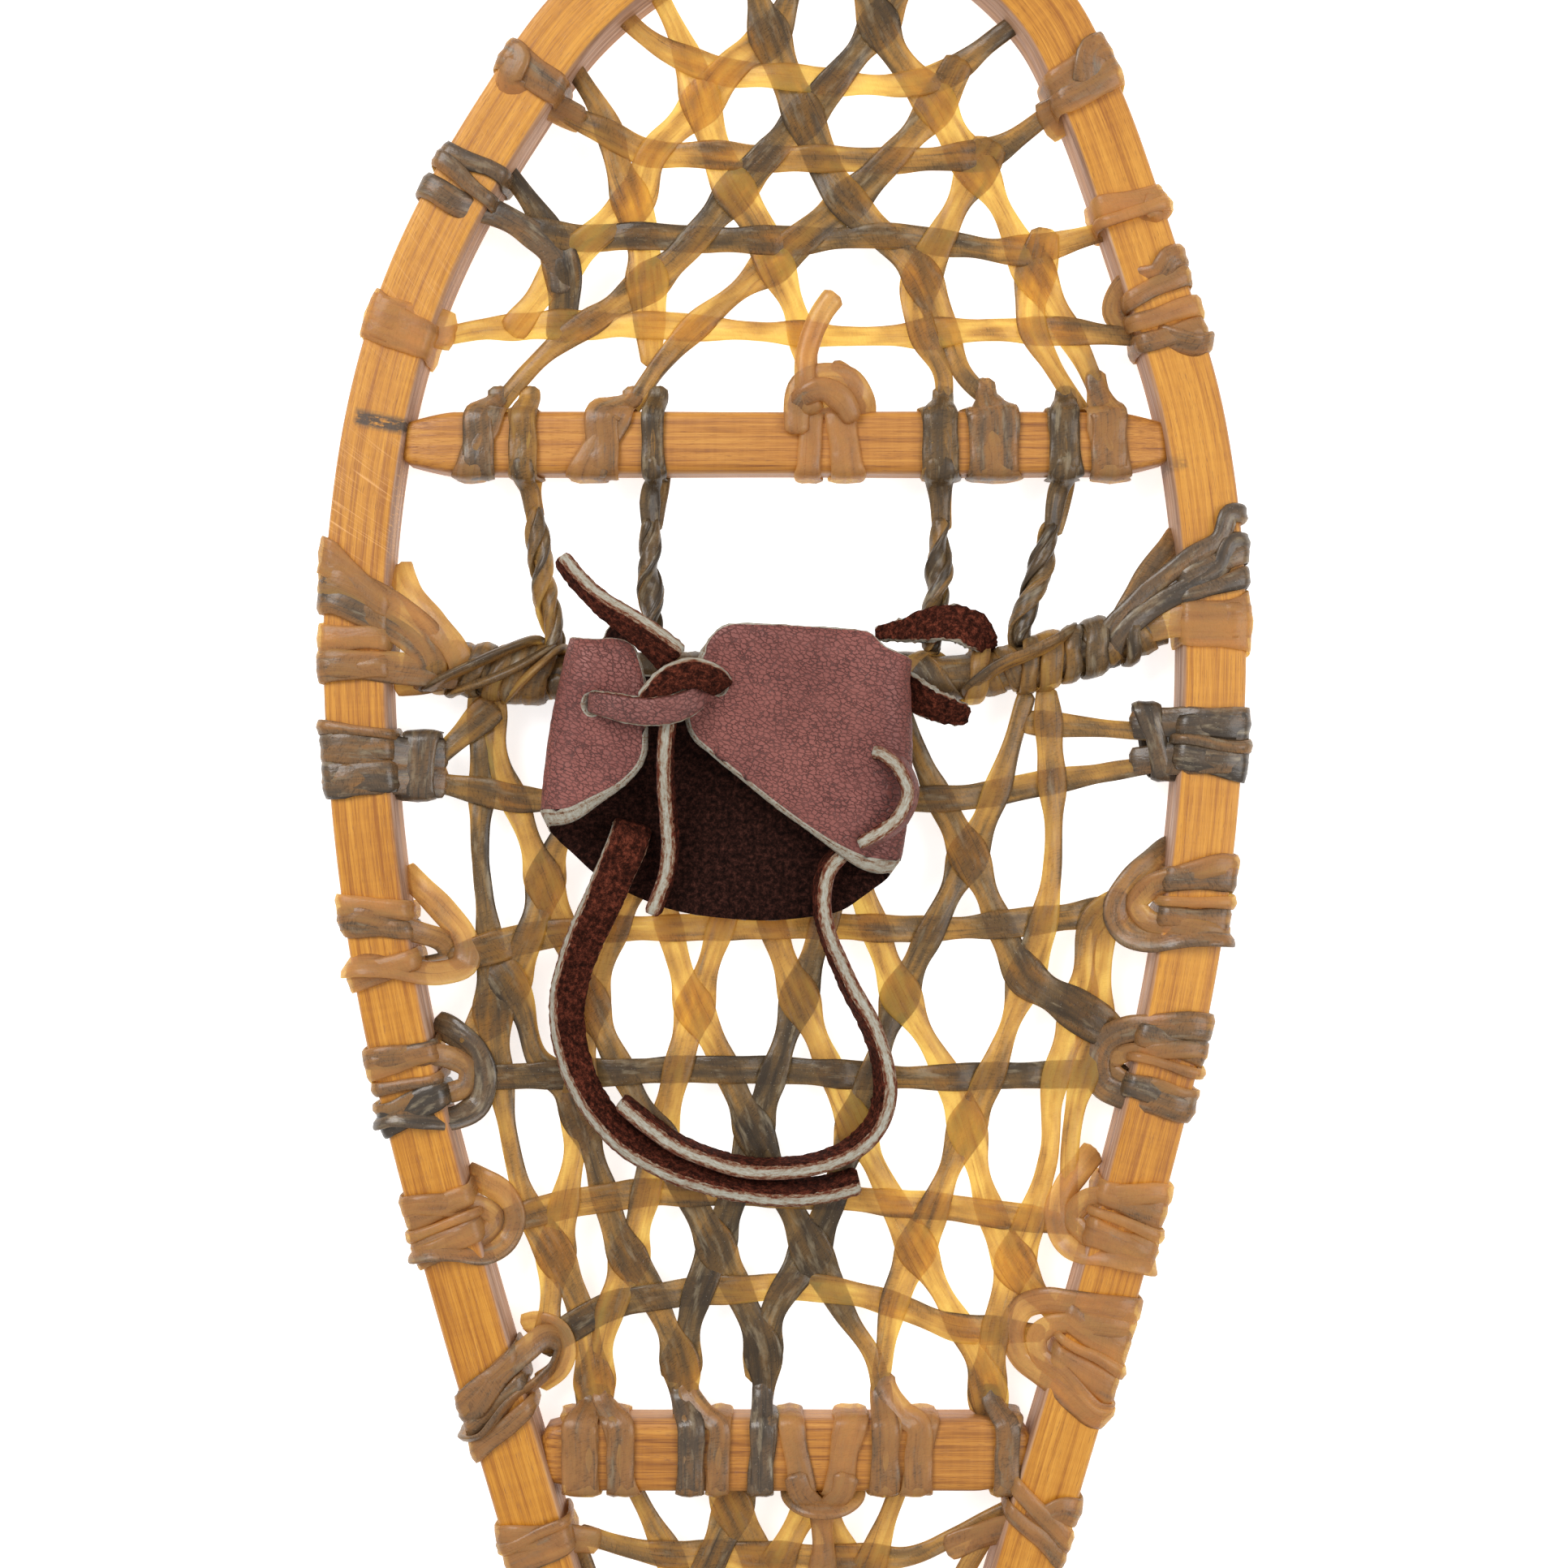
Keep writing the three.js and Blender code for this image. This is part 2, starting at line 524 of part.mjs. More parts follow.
const LACE_KNOT = [[-45, 178.4, 32.6], [-38, 178.8, 33.2], [-30, 179, 33.4], [-23, 180.4, 33.4], [-16.4, 183, 32.8]];
const SIDE_THONG = [[26, 168, 33], [31, 164, 33.2], [32.8, 157, 32.6], [29.6, 150.4, 32.8], [21, 146.4, 33]];

// A flat strap along a route, thickness across and height up.
function strap(points, thickness, height, spacing) {
  const curve = new THREE.CatmullRomCurve3(points.map((p) => v3(...p)), false, "centripetal");
  const steps = Math.round(curve.getLength() / spacing);
  const { normals, binormals } = curve.computeFrenetFrames(steps, false);
  const upright = Math.abs(normals[0].z) > Math.abs(binormals[0].z);
  const size = upright ? [height, thickness] : [thickness, height];
  const section = new THREE.Shape(pairs(cutCorners(...size, 0.7)));
  return toSolid(new THREE.ExtrudeGeometry(section, { steps, extrudePath: curve, bevelEnabled: false }));
}

// ---------------------------------------------------------------- assembly
// The nose curls up from NOSE_START and narrows a little as it rises.
function curlNose(geometry) {
  const positions = geometry.attributes.position;
  for (let i = 0; i < positions.count; i += 1) {
    const y = positions.getY(i);
    if (y <= NOSE_START) continue;
    const lift = NOSE_LIFT * ((y - NOSE_START) / (NOSE_Y - NOSE_START)) ** 2;
    const scale = 1 - lift / NOSE_PINCH;
    positions.setXYZ(i, positions.getX(i) * scale, NOSE_START + (y - NOSE_START) * scale, positions.getZ(i) + lift);
  }
  return geometry;
}

const snowshoe = new THREE.Group();
const seat = new THREE.Group();
seat.position.set(0, PIVOT_Y, CORD_MID);
seat.rotation.x = THREE.MathUtils.degToRad(SEAT_TILT);
snowshoe.add(seat);

function addMesh(parent, name, geometry, material) {
  geometry.computeVertexNormals();
  const mesh = new THREE.Mesh(geometry, material);
  mesh.name = name;
  parent.add(mesh);
}

function addFixed(name, solid, material) {
  addMesh(snowshoe, name, curlNose(toGeometry(solid)), material);
}

// Pieces that tilt with the seat of the toe piece.
function addSeated(name, solid, material) {
  const geometry = toGeometry(solid);
  geometry.translate(0, -PIVOT_Y, -CORD_MID);
  addMesh(seat, name, geometry, material);
}

function buildWood() {
  const mortises = join([crossbar(FRONT_BAR_Y, GAP), crossbar(REAR_BAR_Y, GAP)]);
  addFixed("bent_frame", railSweep(0).subtract(mortises), frameWood);
  addFixed("front_crossbar", crossbar(FRONT_BAR_Y), barWood);
  addFixed("rear_crossbar", crossbar(REAR_BAR_Y), barWood);
}

function buildTailLashings() {
  const inner = cutCorners(2 * RAIL_WIDTH + 0.4 + 2 * GAP, RAIL_THICKNESS + 2 * GAP, RAIL_CHAMFER);
  const outer = cutCorners(2 * (RAIL_WIDTH + GAP + HIDE) + 0.4, RAIL_THICKNESS + 2 * (GAP + HIDE - 0.15), RAIL_CHAMFER);
  [[-280, 16], [-356, 12]].forEach(([y, length], index) => {
    const ring = barBetween(outer, v3(0, y - length / 2, RAIL_MID), v3(0, y + length / 2, RAIL_MID));
    const hole = barBetween(inner, v3(0, y - length, RAIL_MID), v3(0, y + length, RAIL_MID));
    addFixed(`tail_lashing_${index + 1}`, largest(ring.subtract(hole).subtract(railKeepOut)), darkRawhide);
  });
}

// Rawhide bands round a crossbar, and the outlines that the webbing keeps clear of.
function buildBarWraps(y, wraps, knot, knotStub, label, keepOut) {
  const barSpace = crossbar(y, GAP);
  wraps.forEach(([x0, x1, lean], index) => {
    const band = barBand(y, x0, x1, lean).subtract(barSpace).subtract(railKeepOut);
    addFixed(`${label}_wrap_${index + 1}`, largest(band), rawhide);
    keepOut.push(barBand(y, x0, x1, lean, GAP));
  });
  const band = barBand(y, ...knot);
  addFixed(`${label}_knot`, band.add(knotStub).subtract(barSpace), rawhide);
  keepOut.push(barBand(y, ...knot, 0, GAP));
}

const MASTER_CORD = [
  [-94, 190, CORD_MID], [-77.6, 186.4, CORD_MID], [-55.6, 184.8, CORD_MID], [-20, 184.8, CORD_MID],
  [15, 184.8, CORD_MID], [46, 185, CORD_MID], [60, 187.2, CORD_MID], [76, 191.6, CORD_MID], [94, 197.6, CORD_MID],
];

function buildRawhide() {
  const keepOut = [railKeepOut, crossbar(FRONT_BAR_Y, GAP), crossbar(REAR_BAR_Y, GAP)];
  Object.entries(LASHINGS).forEach(([name, plan], index) => {
    const railSpace = join(plan.bands.map(([y, length]) => railBar(plan.side, y, length + 24, RAIL_SPACE)));
    addFixed(name, largest(lashing(plan).subtract(railSpace)), index % 2 ? rawhide : darkRawhide);
    keepOut.push(lashing(plan, GAP));
  });

  const frontStub = tube([[9.4, 249, 12.4], [8.4, 262, 14.6], [12.6, 276.6, 16.4]], 2.6, 8, 6);
  const rearStub = slab([[2, -18], [6.4, -23], [6.6, -31], [13.4, -31], [13.6, -23], [17, -18], [17, -10], [2, -10]], 6, 12);
  buildBarWraps(FRONT_BAR_Y, FRONT_WRAPS, FRONT_KNOT, frontStub, "front_crossbar", keepOut);
  buildBarWraps(REAR_BAR_Y, REAR_WRAPS, REAR_KNOT, rearStub, "rear_crossbar", keepOut);
  keepOut.push(tube([[9.4, 249, 12.4], [8.4, 262, 14.6], [12.6, 276.6, 16.4]], 2.6 + GAP, 8, 6));
  keepOut.push(slab([[1.6, -19], [6, -23.5], [6.2, -31.4], [13.8, -31.4], [14, -23.5], [17.4, -19]], 5.6, 12.4));

  const barSpace = crossbar(FRONT_BAR_Y, GAP);
  STRINGER_LINES.forEach((line, index) => {
    const x = STRINGER_X[index];
    const loop = barBand(FRONT_BAR_Y, x - 3.2, x + 3.2).subtract(barSpace);
    const twist = tube(line.map(([px, py]) => [px, py, CORD_MID]), STRINGER_RADIUS, 8, 8);
    addFixed(`toe_hole_stringer_${index + 1}`, loop.add(twist), darkRawhide);
    keepOut.push(barBand(FRONT_BAR_Y, x - 3.2, x + 3.2, 0, GAP));
  });

  const cordSpace = tube(MASTER_CORD, CORD_RADIUS + GAP, 8, 22);
  const ends = join([lashing(LASHINGS.master_lashing_left, GAP), lashing(LASHINGS.master_lashing_right, GAP)]);
  addFixed("master_cord", largest(tube(MASTER_CORD, CORD_RADIUS, 8, 22).subtract(ends)), darkRawhide);
  keepOut.push(cordSpace);

  const taken = join(keepOut);
  const net = (strands, spacing) => largest(join(strands.map((line) => strand(line, spacing))).subtract(taken));
  addFixed("toe_webbing", net(TOE_STRANDS, 27), rawhide);
  addFixed("body_webbing", net(BODY_STRANDS, 36), rawhide);
  addFixed("tail_webbing", net(TAIL_STRANDS, 36), rawhide);
}

// The thong that ties the right of the toe piece is wound once round the master cord and keeps two tails.
function buildThong() {
  const cordSpace = tube(MASTER_CORD, CORD_RADIUS + GAP, 8, 22);
  const hug = CORD_RADIUS + GAP + HIDE;
  const ring = tube([[42.6, PIVOT_Y + 0.2, CORD_MID], [49, PIVOT_Y + 0.6, CORD_MID]], hug, 8, 7);
  const frontTail = slab([[33, 192], [33, 197], [40, 200], [49, 196], [49, 188], [42, 190]], 13, 16.6);
  const backTail = slab([[33, 180], [33, 176], [41, 173], [46, 178], [49, 182], [42, 182]], 13, 16.6);
  addFixed("tie_thong", largest(join([ring, frontTail, backTail]).subtract(cordSpace)), lace);
}

function buildBinding() {
  addSeated("toe_piece", toePieceSolid(), leather);
  addSeated("toe_lace_knot", strap(LACE_KNOT, 7, 4, 5), lace);
  addSeated("toe_lace_upper_end", strap(LACE_UPPER, STRAP_THICKNESS, 5, 10), lace);
  addSeated("toe_lace_lower_end", strap(LACE_LOWER, STRAP_THICKNESS, 5, 10), lace);
  addSeated("side_lace", strap(SIDE_THONG, STRAP_THICKNESS, 5, 5), lace);
  addFixed("heel_strap_left", strap(HEEL_STRAP_LEFT, STRAP_THICKNESS, STRAP_HEIGHT, 12), lace);
  addFixed("heel_strap_right", strap(HEEL_STRAP_RIGHT, STRAP_THICKNESS, STRAP_HEIGHT, 12), lace);
}

buildWood();
buildRawhide();
buildTailLashings();
buildThong();
buildBinding();

export default snowshoe;
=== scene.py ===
"""The looks of a snowshoe with a wood frame, rawhide nets and a leather toe binding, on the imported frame."""

import math

import bpy
import numpy as np
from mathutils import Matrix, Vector, geometry, noise


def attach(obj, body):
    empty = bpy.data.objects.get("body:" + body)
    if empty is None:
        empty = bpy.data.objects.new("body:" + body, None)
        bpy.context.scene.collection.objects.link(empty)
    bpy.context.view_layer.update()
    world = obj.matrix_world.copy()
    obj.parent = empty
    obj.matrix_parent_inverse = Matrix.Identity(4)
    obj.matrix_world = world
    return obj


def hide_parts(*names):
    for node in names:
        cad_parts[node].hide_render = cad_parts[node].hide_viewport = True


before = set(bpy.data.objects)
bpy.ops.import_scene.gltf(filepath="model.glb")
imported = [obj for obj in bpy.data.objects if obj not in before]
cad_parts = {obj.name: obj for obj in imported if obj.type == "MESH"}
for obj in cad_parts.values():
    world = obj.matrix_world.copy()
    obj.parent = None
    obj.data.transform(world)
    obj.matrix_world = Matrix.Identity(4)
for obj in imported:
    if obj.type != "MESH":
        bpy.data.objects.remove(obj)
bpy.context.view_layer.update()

# Every length below is in millimetres, in the part's own frame, until a mesh is made.
MM = 0.001
NOSE_Y, TAIL_Y = 381, -376.3
RAIL_WIDTH, RAIL_THICKNESS, RAIL_MID = 15.6, 14, 8.7
RAIL_TOP = RAIL_MID + RAIL_THICKNESS / 2
NOSE_LIFT, NOSE_START, NOSE_PINCH = 16, 236, 520  # the nose curls up, and looks a little smaller from above
DRIFT_START, DRIFT = 290, 0.115  # the nose leans to the right
BAR_THICKNESS = 11
TENON, TENON_HALF_WIDTH, TENON_HALF_HEIGHT = 4, 4, 3
FRONT_BAR_Y, REAR_BAR_Y = 242.4, -8.4
BAR_WIDTHS = {FRONT_BAR_Y: 15.4, REAR_BAR_Y: 18}
BAR_TOP = RAIL_MID + BAR_THICKNESS / 2
WEB_MID = 8.7
WRAP_LIGHT = 0.19  # wraps are tight and waxed, so they look lighter than the strands of the nets
CORD_MID, PIVOT_Y = 8.6, 184.8
LEATHER, FOLD_RADIUS, SOLE_BOTTOM = 2.4, 7, 15.6
SEAT_TILT = math.radians(4)
UP = np.array([0.0, 0.0, 1.0])
MADE_OF = {"frame_wood": "ash", "crossbar_wood": "ash", "rawhide": "rawhide", "dark_rawhide": "rawhide",
           "grain_leather": "leather", "lace_leather": "leather"}
# Each strip of hide starts this far along and across the hide's pattern, times its number.
HIDE_SHIFT = (113.0, 17.0)


# ---------------------------------------------------------------- lines
def catmull(points, dims, per=16):
    """A centripetal curve through the first dims columns of points; the other columns go straight."""
    rows = np.array(points, float)
    p = rows[:, :dims]
    p = np.vstack([2 * p[0] - p[1], p, 2 * p[-1] - p[-2]])
    u = np.linspace(0, 1, per, endpoint=False)[:, None]
    parts = []
    for p0, p1, p2, p3 in zip(p, p[1:], p[2:], p[3:]):
        d0, d1, d2 = (max(np.sum((b - a) ** 2) ** 0.25, 1e-4) for a, b in ((p0, p1), (p1, p2), (p2, p3)))
        t1 = ((p1 - p0) / d0 - (p2 - p0) / (d0 + d1) + (p2 - p1) / d1) * d1
        t2 = ((p2 - p1) / d1 - (p3 - p1) / (d1 + d2) + (p3 - p2) / d2) * d1
        parts.append(p1 + t1 * u + (3 * (p2 - p1) - 2 * t1 - t2) * u**2 + (2 * (p1 - p2) + t1 + t2) * u**3)
    parts.append(p[-2:-1])
    fine = np.vstack(parts)
    at = np.arange(len(fine)) / per
    extra = [np.interp(at, np.arange(len(rows)), rows[:, k]) for k in range(dims, rows.shape[1])]
    return np.column_stack([fine, *extra])


def spaced(fine, dims, step):
    lengths = np.linalg.norm(np.diff(fine[:, :dims], axis=0), axis=1)
    s = np.r_[0, np.cumsum(lengths)]
    at = np.linspace(0, s[-1], max(3, round(s[-1] / step)) + 1)
    return np.column_stack([np.interp(at, s, fine[:, k]) for k in range(fine.shape[1])])


def smooth_line(points, step=1.2, dims=3):
    return spaced(catmull(points, dims), dims, step)


def arc(line):
    return np.r_[0, np.cumsum(np.linalg.norm(np.diff(line[:, :3], axis=0), axis=1))]


def rough(values, scale, seed):
    """Smooth noise from -1 to 1 at each value."""
    return np.array([noise.noise((v * scale, seed * 7.31, seed * 1.7)) for v in values])


def round_noise(angles, size, seed):
    """Smooth noise that closes on itself round a circle."""
    return np.array([noise.noise((math.cos(a) * size, math.sin(a) * size, seed)) for a in angles])


def unit_rows(vectors):
    return vectors / np.linalg.norm(vectors, axis=1)[:, None]


def spread(value, n):
    """One number, or a few spread evenly, as n numbers."""
    few = np.atleast_1d(np.asarray(value, float))
    return few if len(few) == n else np.interp(np.linspace(0, 1, n), np.linspace(0, 1, len(few)), few)


def tapered(s, ends, reach):
    """1 along a line, and rounded down to ends over the reach at both of its ends."""
    near = np.clip(np.minimum(s, s[-1] - s) / reach, 0, 1)
    return ends + (1 - ends) * np.sqrt(near * (2 - near))


# ---------------------------------------------------------------- meshes
class Shape:
    """Gathers vertices in millimetres with what the materials read: place (along, across, through), tone and
    fade for each vertex, and rim for each face."""

    def __init__(self):
        self.verts, self.place, self.tone, self.fade = [], [], [], []
        self.faces, self.rim = [], []
        self.count = 0

    def add(self, verts, place, tone, fade, faces, rim=0.0):
        n = len(verts)
        self.verts.append(verts)
        self.place.append(place)
        self.tone.append(np.broadcast_to(tone, n))
        self.fade.append(np.broadcast_to(fade, n))
        self.faces += [[i + self.count for i in face] for face in faces]
        self.rim += list(np.broadcast_to(rim, len(faces)))
        self.count += n

    def build(self, node, material, slot, body="snowshoe", seated=False, name=None):
        """The piece that stands for a node, named after it and what it is made of, unless name is given."""
        name = name or f"{node}_{MADE_OF[slot]}"
        co = np.vstack(self.verts).astype(float)
        co = seat(co) if seated else curl_nose(co)
        mesh = bpy.data.meshes.new(name)
        mesh.from_pydata((co * MM).tolist(), [], self.faces)
        vectors = mesh.attributes.new("place", "FLOAT_VECTOR", "POINT")
        vectors.data.foreach_set("vector", np.vstack(self.place).astype(np.float32).ravel())
        for key, domain, values in (
            ("tone", "POINT", np.concatenate(self.tone)),
            ("fade", "POINT", np.concatenate(self.fade)),
            ("rim", "FACE", np.array(self.rim)),
        ):
            mesh.attributes.new(key, "FLOAT", domain).data.foreach_set("value", values.astype(np.float32))
        mesh.polygons.foreach_set("use_smooth", [True] * len(mesh.polygons))
        mesh.materials.append(material)
        mesh.validate()
        obj = bpy.data.objects.new(name, mesh)
        bpy.context.scene.collection.objects.link(obj)
        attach(obj, body)
        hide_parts(node)
        return obj


def curl_nose(co):
    """Bends everything from the front crossbar on up with the nose."""
    past = np.maximum(co[:, 1] - NOSE_START, 0)
    lift = NOSE_LIFT * (past / (NOSE_Y - NOSE_START)) ** 2
    scale = 1 - lift / NOSE_PINCH
    out = co.copy()
    out[:, 0] *= scale
    out[:, 1] += past * (scale - 1)
    out[:, 2] += lift
    return out


def seat(co):
    """The toe piece rests with its heel a little below its front."""
    c, s = math.cos(SEAT_TILT), math.sin(SEAT_TILT)
    y, z = co[:, 1] - PIVOT_Y, co[:, 2] - CORD_MID
    return np.column_stack([co[:, 0], PIVOT_Y + c * y - s * z, CORD_MID + s * y + c * z])


def frames(line, up=UP, closed=False, roll=0.0):
    """Side and normal along a line, rolled. up is one vector, carried along, or one for each point."""
    tangent = unit_rows(np.roll(line, -1, 0) - np.roll(line, 1, 0) if closed else np.gradient(line, axis=0))
    up = np.array(up, float)
    if up.ndim == 1:
        normal = np.empty_like(tangent)
        for i, along in enumerate(tangent):
            up = up - (up @ along) * along
            up = up / np.linalg.norm(up)
            normal[i] = up
    else:
        normal = unit_rows(up - np.sum(up * tangent, axis=1)[:, None] * tangent)
    side = np.cross(tangent, normal)
    roll = np.broadcast_to(roll, len(line))[:, None]
    return np.cos(roll) * side + np.sin(roll) * normal, np.cos(roll) * normal - np.sin(roll) * side


def strip_section(count=14):
    """A flat strip's section: across and through, each from -1 to 1."""
    a = 2 * np.pi * (np.arange(count) + 0.5) / count
    c, s = np.cos(a), np.sin(a)
    return np.column_stack([np.sign(c) * np.abs(c) ** 0.8, np.sign(s) * np.abs(s) ** 1.25])


def block_section(across, through, corner, per=3, flat=3):
    """A rounded rectangle with flat points on each side, and which of its edges are on the narrow sides."""
    hx, hz = across / 2 - corner, through / 2 - corner
    arcs = []
    for index, (x, z) in enumerate(((hx, hz), (-hx, hz), (-hx, -hz), (hx, -hz))):
        a = np.radians(90 * (index + np.arange(per + 1) / per))
        arcs.append(np.column_stack([x + corner * np.cos(a), z + corner * np.sin(a)]))
    points, narrow = [], []
    for index, (here, after) in enumerate(zip(arcs, arcs[1:] + arcs[:1])):
        share = np.arange(1, flat)[:, None] / flat
        points += [here, here[-1] + (after[0] - here[-1]) * share]
        odd = index % 2 == 1
        narrow += [(i < per / 2) != odd for i in range(per)] + [odd] * flat
    return np.vstack(points), np.array(narrow)


def sweep(shape, line, section, along, tone=0.5, fade=0.0, up=UP, closed=False, roll=0.0, rim=0.0, shift=0.0):
    """Carries a section along a line. section is (n, k, 2): across and through at each point of the line.
    along and shift say where it lies in the material's pattern."""
    n, k = section.shape[:2]
    side, normal = frames(line, up, closed, roll)
    verts = line[:, None] + side[:, None] * section[..., :1] + normal[:, None] * section[..., 1:]
    place = np.concatenate([np.broadcast_to(along[:, None, None], (n, k, 1)), section + (shift, 0)], axis=2)
    bands = n if closed else n - 1
    faces = []
    for i in range(bands):
        a, b = i * k, (i + 1) % n * k
        faces += [(a + j, a + (j + 1) % k, b + (j + 1) % k, b + j) for j in range(k)]
    rim = np.tile(np.broadcast_to(rim, k), bands)
    if not closed:
        faces += [tuple(range(k))[::-1], tuple((n - 1) * k + j for j in range(k))]
        rim = np.r_[rim, rim.max(), rim.max()]
    columns = (np.reshape(v, (-1, 1)) if np.ndim(v) == 1 else v for v in (tone, fade))
    tone, fade = (np.broadcast_to(v, (n, k)) for v in columns)
    shape.add(verts.reshape(-1, 3), place.reshape(-1, 3), tone.ravel(), fade.ravel(), faces, rim)


def ribbon(shape, line, width, thick, tone, seed, up=UP, closed=False, cup=0.0, edge=0.0, fade=0.0, ends=0.5,
           wave=0.1, fold=0.12):
    """A strip of rawhide along a line. edge makes one edge darker than the other, cup bends its edges up, and
    fold is the height of its creases."""
    n = len(line)
    s = arc(line)
    width, thick, tone, edge = (spread(v, n) for v in (width, thick, tone, edge))
    if closed:
        ripple, close = round_noise(2 * np.pi * np.arange(n) / n, 1.6, seed * 3.1), 1.0
    else:
        ripple, close = rough(s, 0.13, seed), tapered(s, ends, 1.6)
    width = width * (1 + wave * ripple) * close
    thick = thick * (1 - wave * ripple) * close
    unit = strip_section()
    across = unit[:, 0]
    crease = np.cos(across * 5.2 + seed * 2.4 + 2.2 * ripple[:, None]) * (1 - across**4)
    section = np.empty((n, len(unit), 2))
    section[..., 0] = across * width[:, None] / 2
    section[..., 1] = unit[:, 1] * thick[:, None] / 2 + cup * across**2 + fold * crease
    tones = tone[:, None] + 1.3 * edge[:, None] * across**3 + 0.1 * ripple[:, None]
    sweep(shape, line, section, s + seed * HIDE_SHIFT[0], tones, fade, up, closed, shift=seed * HIDE_SHIFT[1])


def ring(shape, centre, across, half_width, half_height, corner, width, tone, seed, lean=0.0, thick=1.15,
         lift=0.0, edge=0.0, pinch=0.0):
    """A band of rawhide round a bar. across is level and square to the bar. lean shifts the band along the
    bar, lift raises its top, and pinch makes it narrower on one side."""
    hx, hz = half_width + 0.3 + thick / 2, half_height + 0.25 + thick / 2
    loop, _ = block_section(2 * hx, 2 * hz, corner, per=4, flat=5)
    across = np.array(across, float)
    out = np.gradient(np.vstack([loop[-1], loop, loop[0]]), axis=0)[1:-1]
    out = unit_rows(np.column_stack([out[:, 1], -out[:, 0]]))
    loop = loop + out * (lift * np.clip(loop[:, 1] / hz + 0.6, 0, 1))[:, None]
    angle = np.arctan2(loop[:, 1], loop[:, 0])
    shift = lean * loop[:, 0] / hx + 0.9 * round_noise(angle, 1, seed * 1.9)
    line = np.array(centre, float) + loop[:, :1] * across + loop[:, 1:] * UP
    line = line + shift[:, None] * np.cross(across, UP)
    width = width * (1 + pinch * loop[:, 0] / hx + 0.08 * np.cos(2 * angle))
    ribbon(shape, line, width, thick, tone, seed, up=out[:, :1] * across + out[:, 1:] * UP, closed=True,
           cup=-0.2, edge=edge, wave=0.2, fold=0.15)


def tie(shape, points, width, thick, tone, seed, edge=0.0):
    """A strip of rawhide along a free route of [x, y, z] points."""
    ribbon(shape, smooth_line(points, 1.0), width, thick, tone, seed, edge=edge, wave=0.14, fold=0.2)


def turning(line, pitch, phase, wander=0.0, seed=0):
    """Fine points along a line, and a direction that turns round it. A pitch below 0 turns the other way."""
    fine = spaced(line, 3, 0.8)
    s = arc(fine)
    side, normal = frames(fine)
    turn = 2 * np.pi * s / pitch + phase + wander * rough(s, 0.07, seed)
    return fine, np.cos(turn)[:, None] * normal + np.sin(turn)[:, None] * side


def coil(shape, line, radius, pitch, width, tone, seed, phase=0.0, edge=0.0, thick=1.4):
    """A strip wound round a line."""
    fine, out = turning(line, pitch, phase)
    radius = spread(radius, len(fine)) * (1 + 0.06 * rough(arc(fine), 0.2, seed + 5))
    ribbon(shape, fine + out * radius[:, None], width, thick, tone, seed, up=out, edge=edge, ends=0.3,
           wave=0.2, fold=0.15)


def twist(shape, line, width, thick, pitch, tone, seed, phase=0.0):
    """A strip twisted about its own length."""
    fine, up = turning(line, pitch, phase, 0.8, seed)
    ribbon(shape, fine, width, thick, tone, seed, up=up, edge=0.2, ends=0.6, wave=0.14, fold=0.15)


# ---------------------------------------------------------------- the frame's path
HALF_OUTLINE = [
    (0, NOSE_Y), (23, 378), (44, 369), (64.6, 351), (79.2, 327.4), (90.8, 303.4), (100.4, 278.6),
    (108.2, 251), (113, 217), (113.9, 185), (110.8, 140), (104.2, 98), (94, 56), (84, 20), (73, -17),
    (54.6, -80), (40, -135), (27.5, -190), (19.2, -232), (16.3, -262), (16, -300), (16, TAIL_Y),
]


def rail_line():
    """The middle of the bent rail, from the tail's left end round the nose to its right end."""
    def drift(y):
        return DRIFT * max(0, y - DRIFT_START)

    right = [(drift(y) + x, y) for x, y in HALF_OUTLINE]
    left = [(drift(y) - x, y) for x, y in HALF_OUTLINE[:0:-1]]
    outline = spaced(catmull(left + right, 2, 40), 2, 2.4)
    tangent = unit_rows(np.gradient(outline, axis=0))
    inner = outline + np.column_stack([tangent[:, 1], -tangent[:, 0]]) * RAIL_WIDTH / 2
    return np.column_stack([inner, np.full(len(inner), RAIL_MID)])


RAIL = rail_line()
NOSE_INDEX = int(np.argmax(RAIL[:, 1]))


def rail_at(side, y):
    """The rail's middle at y, and the direction from there to the shoe's inside."""
    half = RAIL[: NOSE_INDEX + 1] if side < 0 else RAIL[:NOSE_INDEX - 1:-1]
    x, above, below = (np.interp(v, half[:, 1], half[:, 0]) for v in (y, y + 2, y - 2))
    inward = np.array([-side * 4.0, side * (above - below), 0.0])
    return np.array([x, y, RAIL_MID]), inward / np.linalg.norm(inward)


